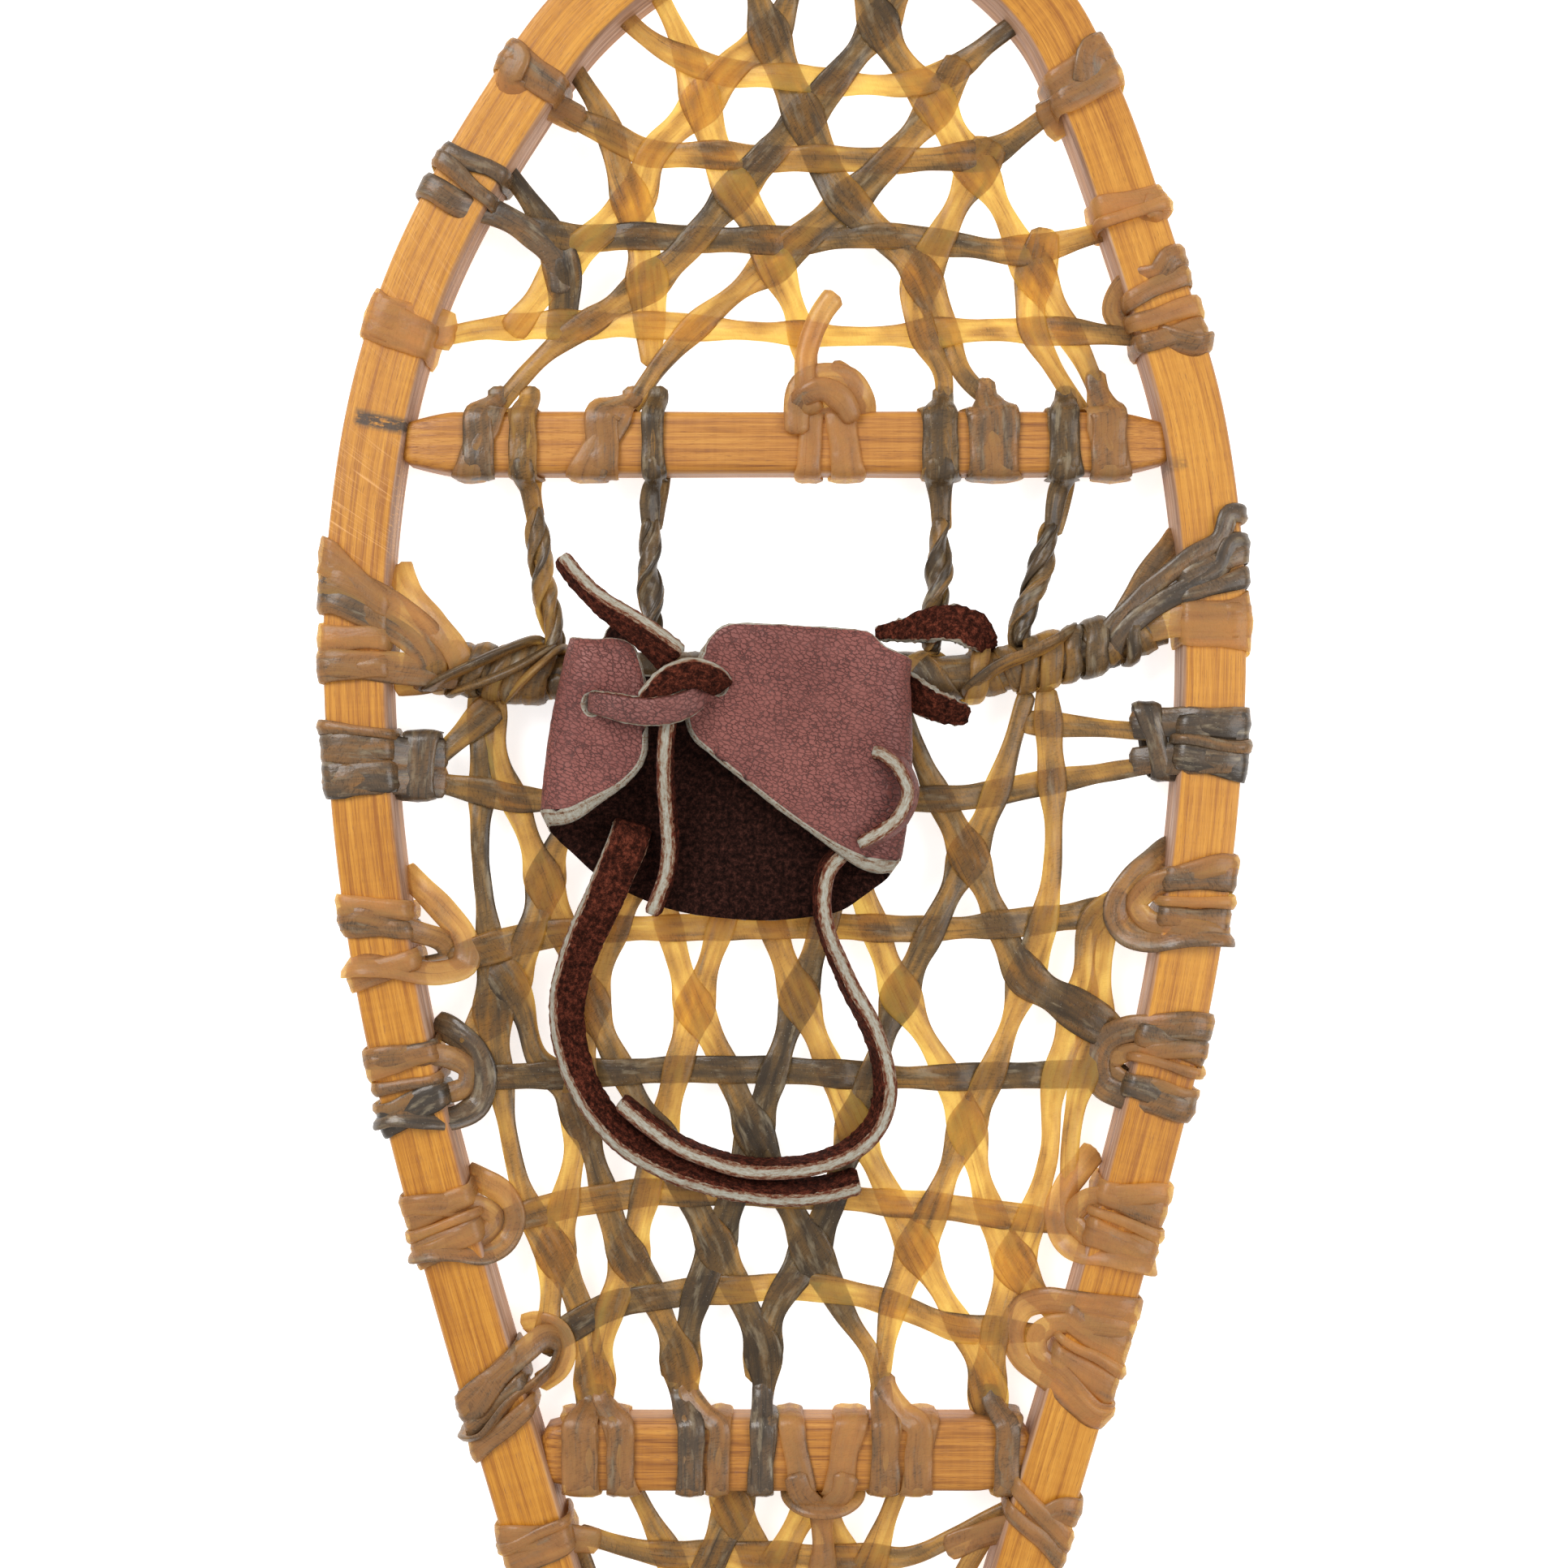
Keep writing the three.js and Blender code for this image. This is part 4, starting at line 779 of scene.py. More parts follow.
BODY_LEFTWARD = [
    [(-46, 154, .35), (-55.6, 145, .5), (-62.6, 123, .55), (-70.4, 104.4, .45), (-78, 95, .35)],
    [(-23.6, 154, .3), (-34.6, 138, .3), (-48.6, 103, .4), (-51.6, 71, .2), (-57, 42, .3), (-59.2, 20, .3)],
    [(0.4, 154, .2), (-9.6, 138, .25), (-22.4, 102, .3), (-30.6, 72, .3), (-39.6, 37, .3), (-44, 25, .3),
     (-48.5, 2, .35)],
    [(24.4, 154, .3), (15.4, 138, .35), (3.4, 104, .75), (-7.6, 71, .85), (-17.4, 42, .8), (-22.6, 28, .85),
     (-26, 12, .5)],
    [(59.4, 177, .5), (52.4, 155, .45), (45.4, 139, .5), (28, 103, .75), (17.4, 71, .65), (6.4, 41.4, .85),
     (-2.6, 27, .75), (-6, 12, .6)],
    [(65.4, 178, .4), (67, 141, .4), (64.8, 125, .3), (54.4, 93, .3), (45, 71, .5), (33, 42, .25),
     (27.4, 29, .25), (24.4, 12, .3)],
    [(82, 128, .35), (76.4, 123, .35), (74, 104.4, .15), (67, 82.2, .12), (65.8, 64.6, .15), (56.4, 35, .2),
     (52.8, 23, .3), (50.4, 4, .35)],
    [(80, 124, .3), (77, 94, .2), (72.8, 78.6, .12), (71, 64.6, .15), (71, 52, .2)],
]
TAIL_ACROSS = [
    [(-48, -30, .5), (-35.6, -33.4, .5), (-17.6, -34.6, .35), (6.4, -35, .4), (30.4, -35, .45),
     (42.4, -30, .45), (54, -24, .45)],
    [(-42, -60, .4), (-20, -63, .5), (20, -63, .35), (42, -60, .4)],
    [(-33, -92, .3), (-12, -93, .4), (12, -93, .5), (33, -92, .4)],
    [(-25, -124, .5), (0, -126, .4), (25, -124, .3)],
    [(-17, -156, .4), (0, -158, .3), (17, -156, .4)],
]
TAIL_RIGHTWARD = [
    [(-37, -19, .4), (-29, -35, .3), (-18, -63, .3), (-6, -93, .5), (5, -125, .3), (13, -157, .4)],
    [(-15, -19, .3), (-7, -35, .4), (4, -63, .5), (14, -93, .3), (24, -116, .4)],
    [(8, -19, .4), (15, -35, .3), (27, -63, .3), (34, -86, .4)],
    [(-51, -34, .5), (-40, -62, .4), (-27, -93, .3), (-16, -125, .4), (-7, -157, .5), (0, -185, .5)],
]
TAIL_LEFTWARD = [
    [(28, -19, .4), (22, -35, .3), (12, -63, .4), (1, -93, .6), (-9, -125, .4), (-15, -154, .4)],
    [(8, -19, .3), (-1, -35, .3), (-11, -63, .5), (-20, -93, .4), (-24, -112, .4)],
    [(-11, -19, .5), (-18, -35, .6), (-31, -63, .4), (-35, -80, .4)],
    [(50, -30, .4), (40, -48, .3), (30, -76, .3), (20, -106, .4), (11, -135, .4), (3, -165, .5),
     (0, -185, .5)],
]

STRAND_WIDTHS = (4.8, 5.0), (4.7, 6.6)  # across, then slanting: the plain width, and how much crossings add
STRAND_THICKNESS, THINNING = 2.2, 1.35
FLARE_REACH, RISE_REACH, RISE = 8.2, 6, 0.7


def crossings(a, b):
    """Where two flat lines cross: [distance along a, distance along b]."""
    p, r = a[:-1, :2], np.diff(a[:, :2], axis=0)
    q, s = b[:-1, :2], np.diff(b[:, :2], axis=0)
    gap = q[None] - p[:, None]
    area = r[:, None, 0] * s[None, :, 1] - r[:, None, 1] * s[None, :, 0]
    area = np.where(np.abs(area) < 1e-9, np.nan, area)
    t = (gap[..., 0] * s[None, :, 1] - gap[..., 1] * s[None, :, 0]) / area
    u = (gap[..., 0] * r[:, None, 1] - gap[..., 1] * r[:, None, 0]) / area
    hit = (t >= 0) & (t < 1) & (u >= 0) & (u < 1)
    sa, sb = arc(a[:, :2]), arc(b[:, :2])
    step_a, step_b = sa[1] - sa[0], sb[1] - sb[0]
    return [(sa[i] + t[i, j] * step_a, sb[j] + u[i, j] * step_b) for i, j in zip(*np.nonzero(hit))]


def lengthened(points, extra=4.0):
    """A strand carried on at both ends, into the wood or the cord that holds it."""
    rows = [list(p) for p in points]
    for end, near in ((0, 1), (-1, -2)):
        dx, dy = rows[end][0] - rows[near][0], rows[end][1] - rows[near][1]
        length = math.hypot(dx, dy)
        rows[end][0] += dx / length * extra
        rows[end][1] += dy / length * extra
    return rows


def meetings(strands):
    """For each strand, where it meets others: [distance, 1 over or -1 under, how much both spread there]."""
    meets = [[] for _ in strands]
    for i, (fi, a) in enumerate(strands):
        for j, (fj, b) in enumerate(strands[:i]):
            if fi == fj:
                continue
            over = 1 if (fj - fi) % 3 == 1 else -1
            share = 0.5 if 0 in (fi, fj) else 0.9
            for at_i, at_j in crossings(a, b):
                meets[i].append((at_i, over, share))
                meets[j].append((at_j, -over, share))
    return meets


def make_web(node, families, seed):
    """Woven strands. Each family passes over the next one, and the strands are widest where they cross."""
    strands = [(family, smooth_line(lengthened(points), 1.1, dims=2)) for family, group in enumerate(families)
               for points in group]
    shape = Shape()
    for number, ((family, line), met) in enumerate(zip(strands, meetings(strands)), seed):
        s = arc(line[:, :2])
        calm = np.ones(len(s))
        z = np.zeros(len(s))
        for at, over, share in met:
            calm *= 1 - share * np.exp(-(((s - at) / FLARE_REACH) ** 2))
            z += over * RISE * np.exp(-((np.abs(s - at) / RISE_REACH) ** 3))
        flare = 1 - calm
        narrow, wider = STRAND_WIDTHS[family > 0]
        path = np.column_stack([line[:, :2], WEB_MID + np.clip(z, -1.3, 1.3)])
        lean = 0.5 * rough(s, 0.05, number + 0.5) * (1 - np.clip(flare * 1.3, 0, 1))
        side, normal = frames(path)
        edge = 0.34 * rough(s, 0.03, number + 0.7) + 0.12 * math.sin(number * 2.3)
        thin = np.clip(flare * 1.2, 0, 1)
        ribbon(shape, path, narrow + wider * flare**1.3, STRAND_THICKNESS - THINNING * thin, line[:, 2],
               number, up=normal + side * lean[:, None], edge=edge, fade=thin, cup=0.15)
    shape.build(node, RAWHIDE, "rawhide")


# ---------------------------------------------------------------- rawhide on the rails
# rings: [y, width, lean, tone, lift]. loops: [points, width, thickness, tone].
LASHINGS = {
    "rail_lashing_toe_left_1": ([(332, 8.5, 0, .55, 0)], [
        ([(-68, 329, 16.4), (-62, 326.4, 13.4), (-57, 325, 10.4), (-50, 322, 9.4)], 6, 1.8, .5)]),
    "rail_lashing_toe_left_2": ([(310, 5, 1, .85, 0), (306, 4.5, -1.5, .75, .5)], [
        ([(-80, 300, 16), (-72, 299, 12), (-64, 295, 10), (-57, 288, 9), (-55, 280, 9)], 5.5, 2.2, .85)]),
    "rail_lashing_toe_left_3": ([(270, 10.5, -1, .18, 0)], [
        ([(-94, 271, 16), (-88, 271, 13), (-82, 270, 9.5)], 9, 1.6, .15)]),
    "rail_lashing_toe_right_1": ([(333, 8, 1, .5, 0), (328, 7, 1, .45, .5)], [
        ([(76, 328, 16), (70, 324, 12), (64, 321, 9.5)], 9, 1.8, .5)]),
    "rail_lashing_toe_right_2": ([(300, 6.5, -1.5, .2, 0), (297.5, 3.4, -.5, .2, 1)], [
        ([(92, 297, 16), (85, 296, 12), (78, 294.5, 9.5)], 5, 2.2, .22)]),
    "rail_lashing_toe_right_3": ([(280, 5.5, 1, .5, 0), (273.5, 5, -.6, .35, .5), (268, 5.5, -1, .55, 0)], [
        ([(92, 283, 16), (84, 281, 13), (82, 275, 10), (86, 271, 9), (93, 268, 15)], 5, 2, .6)]),
    "rail_lashing_left_1": ([(167, 8, -1, .82, 0), (159.5, 8.5, 0, .92, .3), (171, 3, -1, .66, .9)], [
        ([(-100, 166, 15.8), (-92, 165, 12), (-84, 165, 9)], 7, 1.8, .85),
        ([(-100, 159, 15.8), (-92, 159, 12), (-84, 158, 9)], 7, 1.8, .8)]),
    "rail_lashing_left_2": ([(127, 5.5, -1.8, .3, .3), (122.4, 5, -2.2, .65, 0), (112, 6.5, 1, .35, .3)], [
        ([(-96, 136, 5), (-91, 132, 8), (-84.6, 125.6, 9), (-79.6, 119, 9.4), (-79.6, 113, 10.4),
          (-86, 111, 13.4), (-95, 112.6, 16)], 5.6, 2.2, .4),
        ([(-97, 123, 16), (-90, 121, 14), (-85, 118.6, 10), (-84, 115.6, 8), (-88, 114, 6), (-95, 114, 4)],
         5, 2, .65)]),
    "rail_lashing_left_3": ([(90, 6.5, .6, .5, .3), (84, 3.4, 0, .62, 0), (78, 7.5, 1.4, 1.1, .2)], [
        ([(-88, 98, 5), (-83, 96, 8), (-77.4, 91.6, 9.4), (-75, 85, 9.6), (-76.6, 78, 9.6), (-82, 75, 12.6),
          (-88, 76, 16)], 5.6, 2.2, .95),
        ([(-90, 91, 16), (-84, 90.6, 14), (-79, 87, 10.4), (-79.6, 82.6, 10.4), (-85, 81, 13.6),
          (-91, 80, 16)], 4.6, 2, .62)]),
    "rail_lashing_left_4": ([(53.6, 7, 1, .42, 0), (45.4, 7.4, 1.6, .4, .2), (49.4, 2.6, 1.2, .3, 1)], [
        ([(-80, 60, 5), (-75, 58.6, 8.6), (-70, 55.6, 9.4), (-67.4, 50, 9.6), (-69.6, 44, 10.4),
          (-74, 42, 13.6), (-80, 43, 16)], 5.4, 2.2, .5),
        ([(-81, 54, 16), (-75, 53, 13.4), (-72, 49.6, 11), (-75, 46, 13.4), (-81, 45, 16)], 4.6, 2, .35)]),
    "rail_lashing_left_5": ([(11, 5.2, 4.4, .55, .4), (5, 4, 4, .75, 0), (-1, 5, 3.4, .55, .4)], [
        ([(-70, 13, 16.6), (-64, 18, 15), (-59, 21, 12), (-56, 18.6, 9.4), (-57.6, 13, 9), (-62, 9, 12),
          (-68, 5, 16)], 5, 2.2, .6),
        ([(-66, 22, 5), (-61, 23.6, 8.6), (-56, 21.6, 9.6), (-54.4, 17, 9.2), (-56.6, 11.6, 8), (-62, 7, 5)],
         4.6, 2.2, .35)]),
    "rail_lashing_left_6": ([(-31, 8.5, 1.5, .4, 0), (-27, 3, 1, .5, .8)], [
        ([(-60, -28, 16), (-54, -29, 13), (-46, -31, 9.4)], 6, 2, .4)]),
    "rail_lashing_right_1": ([(172, 7.6, .4, 1.08, 0), (164, 8.4, -.6, 1.08, .2), (168, 3, -.4, .85, 1)], [
        ([(100, 173, 15.8), (93, 173, 12), (86, 172.6, 9)], 6.4, 1.8, 1),
        ([(100, 164, 15.8), (93, 164, 12), (86, 163.4, 9)], 6.4, 1.8, .95)]),
    "rail_lashing_right_2": ([
        (134.6, 6.8, 1.2, .68, .2), (129, 3.2, .8, .35, .8), (124.4, 6.4, .4, .62, 0)], [
        ([(98, 142, 5), (93, 139, 8), (87, 134, 9.4), (82.6, 127, 9.6), (84.6, 121.6, 10.4),
          (90, 119.6, 13.4), (96, 120.6, 16)], 6.4, 2.2, .66),
        ([(97, 135, 16), (91, 132.6, 14), (87.4, 128, 11.4), (90, 124, 13), (96, 123, 16)], 4.8, 2, .4)]),
    "rail_lashing_right_3": ([(94, 6.6, -1, .75, 0), (88.6, 2.6, 0, .4, .8), (81, 6.6, -.6, .85, .2)], [
        ([(92, 98, 15.8), (85, 97, 13), (80, 94, 10), (77.6, 88.6, 9.4), (79, 83, 9.6), (84, 80.6, 12.6),
          (90, 80, 16)], 5.6, 2.2, .7),
        ([(90, 92, 16), (84, 91, 12.6), (81, 87.6, 10), (84, 84.6, 12), (90, 83.6, 16)], 4, 2, .5)]),
    "rail_lashing_right_4": ([(54.6, 8, -.8, .36, 0), (44.6, 8.4, -1, .38, .2), (49.6, 3, -.8, .3, 1)], [
        ([(78, 66, 5), (74, 62, 8.4), (70, 57, 9.4), (68, 51, 9.6), (69.6, 44.6, 10), (74, 42, 13.6),
          (80, 42, 16)], 5.6, 2.2, .35),
        ([(80, 56, 16), (74.6, 54.6, 13), (71.6, 50, 10.6), (75, 46, 13.4), (81, 45, 16)], 4.8, 2, .3)]),
    "rail_lashing_right_5": ([(22.4, 7.4, -2.4, .35, .2), (13, 7.4, -2.4, .38, 0), (17.6, 3, -2, .3, 1)], [
        ([(70, 30, 15.4), (64, 30, 13.4), (59, 27.4, 10.4), (56.6, 21.6, 9.6), (58.6, 15, 10), (63, 12, 13),
          (68, 9, 16)], 5.4, 2.4, .35),
        ([(72, 25, 16.4), (66, 24.6, 15.4), (62.4, 21, 13.4), (63, 16.6, 13.4), (68, 12.6, 16.4)],
         4.6, 2, .28)]),
    "rail_lashing_right_6": ([(-22, 5, -5, .4, .3), (-27, 4.6, -4.4, .5, 0)], [
        ([(64, -23, 16), (56, -26, 13.4), (48, -29.6, 10), (40, -33, 9.4)], 5.6, 2.2, .5)]),
    "rail_lashing_tail_left": ([(-89, 6, 0, .45, 0), (-95, 6, 0, .4, .2)], [
        ([(-42, -88, 15.6), (-37, -89, 12.6), (-31, -91, 9.4)], 6, 2, .4)]),
    "rail_lashing_tail_right": ([(-89, 6, 0, .4, 0), (-95, 6, 0, .5, .2)], [
        ([(42, -88, 15.6), (37, -89, 12.6), (31, -91, 9.4)], 6, 2, .4)]),
    "master_lashing_left": ([
        (208, 7.6, -6, .42, .5), (201.6, 6.4, -4.4, .8, 0), (193.6, 6.4, -.5, .35, .2),
        (186.4, 6, .3, .55, .3)], [
        ([(-97, 201.4, 15.8), (-91.6, 197.6, 15.4), (-87.4, 192.6, 15.2), (-86, 187, 13.8), (-87, 182.6, 10),
          (-89, 181, 6)], 7, 2, .42),
        ([(-97, 213, 5), (-95, 208.6, 9), (-91, 202.6, 12.6), (-86.4, 197, 14.8), (-81.6, 191.6, 15.4),
          (-79.6, 186, 13.8), (-80.4, 181.4, 9)], 5.6, 2, .3),
        ([(-98, 196.6, 15.6), (-93, 193.4, 15), (-89, 188.6, 14.6), (-88.6, 184, 13), (-90, 181, 8)],
         5, 2, .7),
        ([(-98, 186.6, 15.6), (-92, 186, 14.6), (-86, 185.4, 13.4), (-80, 185, 12.4)], 6.4, 2.2, .5),
        ([(-98, 183, 6), (-92, 183.6, 8), (-84, 184.6, 9), (-78, 185, 9)], 6, 2.2, .4)]),
    "master_lashing_right": ([(212, 5.4, 3, .9, .2), (206.4, 4.6, 2, .95, 0), (197.6, 12.6, 0, .28, 0)], [
        ([(107, 218, 16.6), (99.6, 213.4, 16.6), (92, 207.6, 15.6), (85.4, 201.6, 14.8), (80, 195.4, 13.6),
          (79, 190, 10)], 4.2, 2.4, .9),
        ([(107, 211, 16.4), (99, 206, 16), (91, 201.4, 15.2), (85, 196.6, 15), (81.6, 192, 13.4),
          (81, 187, 9)], 4.4, 2.4, 1.05),
        ([(99, 221, 5), (96, 217, 8.6), (91, 211, 11.6), (87, 205, 13.6), (83.4, 199, 14.6),
          (81.6, 193, 13.4), (81.6, 188, 9)], 4.8, 2.2, .7),
        ([(107, 198, 16), (99, 198, 15.6), (91.4, 197.4, 13.2), (84, 196, 11.6)], 7, 1.8, .28)]),
}

# A band round two strands beside the rail: [middle, half width inside, width, tone, number, lean].
BINDS = {
    "rail_lashing_left_1": ((-90.6, 162.4, 9), 7.2, 8.6, .78, 901, .6),
    "rail_lashing_right_1": ((92.2, 168.4, 9), 8.2, 6.6, .9, 902, -2.4),
}


def over_rail(side, point, before):
    """Carries a loop's end that lies on the rail over to the rail's outer side and down, along its slant."""
    if point[2] < 15:
        return []
    slope = (point[1] - before[1]) / (abs(point[0] - before[0]) + 1e-6)
    centre, inward = rail_at(side, point[1] + max(-0.8, min(0.8, slope)) * 9)
    outer = centre - inward * RAIL_WIDTH / 2
    steps = (3, RAIL_TOP + 1.1), (-0.7, RAIL_TOP - 0.6), (-1.1, RAIL_MID), (-1.1, 4.0)
    return [(*(outer + inward * reach)[:2], z) for reach, z in steps]


def make_lashing(index, node):
    side = -1 if "left" in node else 1
    rings, loops = LASHINGS[node]
    shape = Shape()
    for i, (y, width, lean, tone, lift) in enumerate(rings):
        centre, inward = rail_at(side, y)
        ring(shape, centre, inward * side, RAIL_WIDTH / 2, RAIL_THICKNESS / 2, 2.4, width, tone - WRAP_LIGHT,
             index * 11 + i, lean=-lean, lift=lift, edge=0.2 * math.sin(index * 3 + i * 2.1),
             pinch=-0.15 * side)
    for i, (points, width, thick, tone) in enumerate(loops):
        route = over_rail(side, points[0], points[1])[::-1] + points + over_rail(side, points[-1], points[-2])
        tie(shape, route, width * 1.2, thick * 0.75, tone - WRAP_LIGHT, index * 11 + i + 5,
            edge=0.2 * math.cos(index + i * 2.7))
    if node in BINDS:
        centre, half, width, tone, seed, lean = BINDS[node]
        ring(shape, centre, (0, 1, 0), half, 2.6, 2.2, width, tone, seed, lean=lean, lift=0.5)
    shape.build(node, WAXED_RAWHIDE, "dark_rawhide" if node.startswith("master") else "rawhide")


# ---------------------------------------------------------------- rawhide on the crossbars
# [number, x, width, lean, tone, lead x, lead y]. The lead is where its strand leaves the net.
FRONT_WRAPS = [
    (1, -75.6, 7.6, 3, .6, -71.6, 254), (2, -45, 8.6, 4, .42, -38, 254), (3, 51.6, 12.6, -1, .5, 50, 256),
    (4, 80, 9, -1.4, .38, 77.6, 258),
]
# [number, x, width, lean, tone]
FRONT_STRINGERS = [(1, -64.6, 7, 0, .55), (2, -32.6, 5.4, -.4, .82), (3, 38.4, 9, -.4, .72),
                   (4, 69, 7.6, -.6, .8)]
REAR_WRAPS = [
    (1, -50.6, 9, -.6, .35, -48.4, 4), (2, -40.6, 7, -1.4, .42, -46, 5), (3, -23.2, 6.6, 0, .72, -25.6, 5),
    (3, -16.4, 5.6, .4, .4, -24, 6), (4, -5.6, 6, .8, .85, -5.6, 6), (5, 24.8, 7, .8, .35, 24, 6),
    (5, 33, 7, 1.4, .3, 25, 8), (6, 54.8, 6.4, .6, .55, 51.4, 5),
]


def bar_band(shape, y, x, width, lean, tone, seed):
    ring(shape, (x, y, RAIL_MID), (0, 1, 0), BAR_WIDTHS[y] / 2, BAR_THICKNESS / 2, 2.6, width,
         tone - WRAP_LIGHT, seed, lean=lean, edge=0.2 * math.sin(seed * 1.3))


def bar_lead(shape, bar_y, x, lead_x, lead_y, width, tone, seed):
    """The strand that climbs from the net over the crossbar's edge and across its band."""
    sign = 1 if lead_y > bar_y else -1
    edge = bar_y + sign * (BAR_WIDTHS[bar_y] / 2 + 1.4)
    far = bar_y - sign * (BAR_WIDTHS[bar_y] / 2 + 0.9)
    points = [(lead_x, lead_y + sign * 3, WEB_MID), (lead_x, lead_y, WEB_MID + 0.6),
              ((lead_x + x) / 2, edge, BAR_TOP - 1.6), (x, edge - sign * 2.4, BAR_TOP + 0.9),
              (x, bar_y, BAR_TOP + 0.9), (x, far + sign * 2.4, BAR_TOP + 0.9), (x, far, BAR_TOP - 1.6),
              (x, far, RAIL_MID)]
    widths = [5.2, 5.6, width, width * 0.98, width, width, width * 0.9]
    tie(shape, points, widths, [1.8, 1.5, 1.1, 0.9, 0.9], tone, seed)


def make_bar_wraps(prefix, y, wraps):
    grouped = {}
    for row in wraps:
        grouped.setdefault(row[0], []).append(row[1:])
    for number, rows in grouped.items():
        shape = Shape()
        for i, (x, width, lean, tone, lead_x, lead_y) in enumerate(rows):
            seed = int(y) + number * 7 + i * 3 + 400
            bar_band(shape, y, x, width, lean, tone, seed)
            bar_lead(shape, y, x, lead_x, lead_y, width, tone, seed + 1)
        shape.build(f"{prefix}_wrap_{number}", WAXED_RAWHIDE, "rawhide")


def make_front_knot():
    shape = Shape()
    y = FRONT_BAR_Y
    bar_band(shape, y, 6.4, 6.2, .8, .3, 501)
    bar_band(shape, y, 14.6, 8.4, -.8, .28, 502)
    tie(shape, [(1.4, 249, 10), (5, 250.6, 13), (11, 251.6, 14.2), (16.4, 250.8, 13), (19, 249, 10)],
        [6, 8, 8.6, 8, 6], 2.4, .26, 505)
    tie(shape, [(3, 244, BAR_TOP + 1.4), (3, 250, 15.6), (4.6, 255.4, 16), (9.6, 258, 16.4), (15.6, 257, 16),
                (19, 252.6, 14.8), (19.6, 248, 11)], [6.4, 7.4, 7, 6.4], 2.2, .24, 503)
    tie(shape, [(17, 247, 15.6), (14, 252, 17.4), (9, 254.6, 18), (4.6, 253, 17.4), (2, 249.6, 14.4)],
        [5, 7, 6, 4], 2.2, .28, 504)
    tie(shape, [(7, 249, 15), (5.4, 255, 17), (5, 261, 17), (6.4, 267.4, 16.4), (9.2, 273.6, 16.6),
                (12.6, 278, 17)], [6, 5.4, 5.4, 6], 3.6, .16, 506, edge=.1)
    tie(shape, [(14, 250, 14), (17.6, 255, 13), (15.6, 260, 10.6), (12, 262.6, 9.6)], 4, 2, .35, 507)
    shape.build("front_crossbar_knot", WAXED_RAWHIDE, "rawhide")


def make_rear_knot():
    shape = Shape()
    y = REAR_BAR_Y
    bar_band(shape, y, 3, 6.4, -2, .35, 511)
    bar_band(shape, y, 14.4, 8, 2, .32, 512)
    tie(shape, [(2.4, -12, 15.6), (4, -17, 15.2), (7, -20.6, 13.6), (9, -24, 12)], [6, 6, 5], 2, .32, 513)
    tie(shape, [(15.4, -12, 15.6), (14, -17, 15.2), (11, -20.6, 13.6), (9.4, -24, 12)], [7, 6, 5], 2, .3, 514)
    tie(shape, [(1, -17, 7), (1.6, -19, 11.4), (5, -20.6, 14.4), (9.6, -21.2, 15), (14, -20.6, 14.2),
                (17.6, -19, 11.4), (18, -17, 7)], [4, 5.4, 5.8, 5.4, 4], 2, .34, 517)
    tie(shape, [(9.4, -20, 12.6), (9.2, -26, 12), (9.6, -32, 10.6), (9.4, -39, 9.4)],
        [7.4, 5.6, 6, 8.4], 2.6, .28, 515, edge=.12)
    shape.build("rear_crossbar_knot", WAXED_RAWHIDE, "rawhide")


# ---------------------------------------------------------------- stringers and master cord
MASTER_CORD = [
    (-94, 190), (-77.6, 186.4), (-55.6, 184.8), (-20, 184.8), (15, 184.8), (46, 185), (60, 187.2),
    (76, 191.6), (94, 197.6),
]
CORD_RADIUS = 5.2
# [from x, to x, radius, pitch, width, tone, number, phase, edge]
MASTER_COILS = [
    (-92, -78, [6.4, 5.8], 7, 6.6, .48, 700, 1.4, .2), (-84, -54, 5.5, 11, 6.4, .5, 701, 1, .2),
    (-58, 34, 5.5, 12, 7, .7, 703, 0, 0), (20, 48, 5.5, 22, 8, .78, 704, 2, .2),
    (26, 50, 5.9, -30, 4, .4, 705, .4, 0), (44, 62, 5.5, 7, 5.4, .45, 706, 1.2, 0),
    (60, 90, 5.5, 9, 6.2, .62, 707, 0, .15),
]
# [x, width, tone, radius]
MASTER_BANDS = [
    (48.4, 5, .3, 6.6), (-76, 4.6, .6, 6.3), (-71, 5, .4, 6.5), (-66, 6.4, .55, 6.8), (-60.4, 6.6, .5, 6.8),
    (61, 4.6, .5, 6.2), (66, 6.4, .35, 6.5), (71.4, 4.4, .6, 6.2), (77, 6, .75, 6.5), (86.4, 4, .75, 6.6),
]
# [points, width, tone, number, edge]
MASTER_TIES = [
    ([(-90, 186, 2), (-89.4, 183, 6), (-88, 182, 10.6), (-84.6, 183.6, 14.8), (-77, 187, 16.4),
      (-69, 190.6, 15.8), (-63.4, 193, 12.6), (-62, 193, 8), (-62.4, 190, 3)],
     [4.6, 5.6, 5.6, 4.6], .5, 711, .25),
    ([(-84, 184, 2.4), (-83, 180.8, 7), (-80, 181.4, 12.6), (-73, 183.4, 15.6), (-66, 186.4, 16),
      (-60.6, 189.6, 14.4), (-58.6, 191.4, 9), (-59, 189, 3)], 4.8, .62, 712, 0),
    ([(-70, 181, 4), (-68.4, 180.2, 10), (-64, 184, 15.6), (-59, 188.6, 15), (-56.6, 191, 10), (-57, 188, 3)],
     6, .42, 713, 0),
    ([(45, 184, 2.4), (45.4, 180.4, 8), (47, 182.4, 14.4), (53, 187, 16.2), (60, 189.8, 16.6),
      (66.4, 192.8, 16), (70.6, 195.4, 12.6), (71.6, 195.8, 8), (71.4, 192, 3)],
     [4.6, 5.2, 5, 4.4], .38, 715, .2),
]
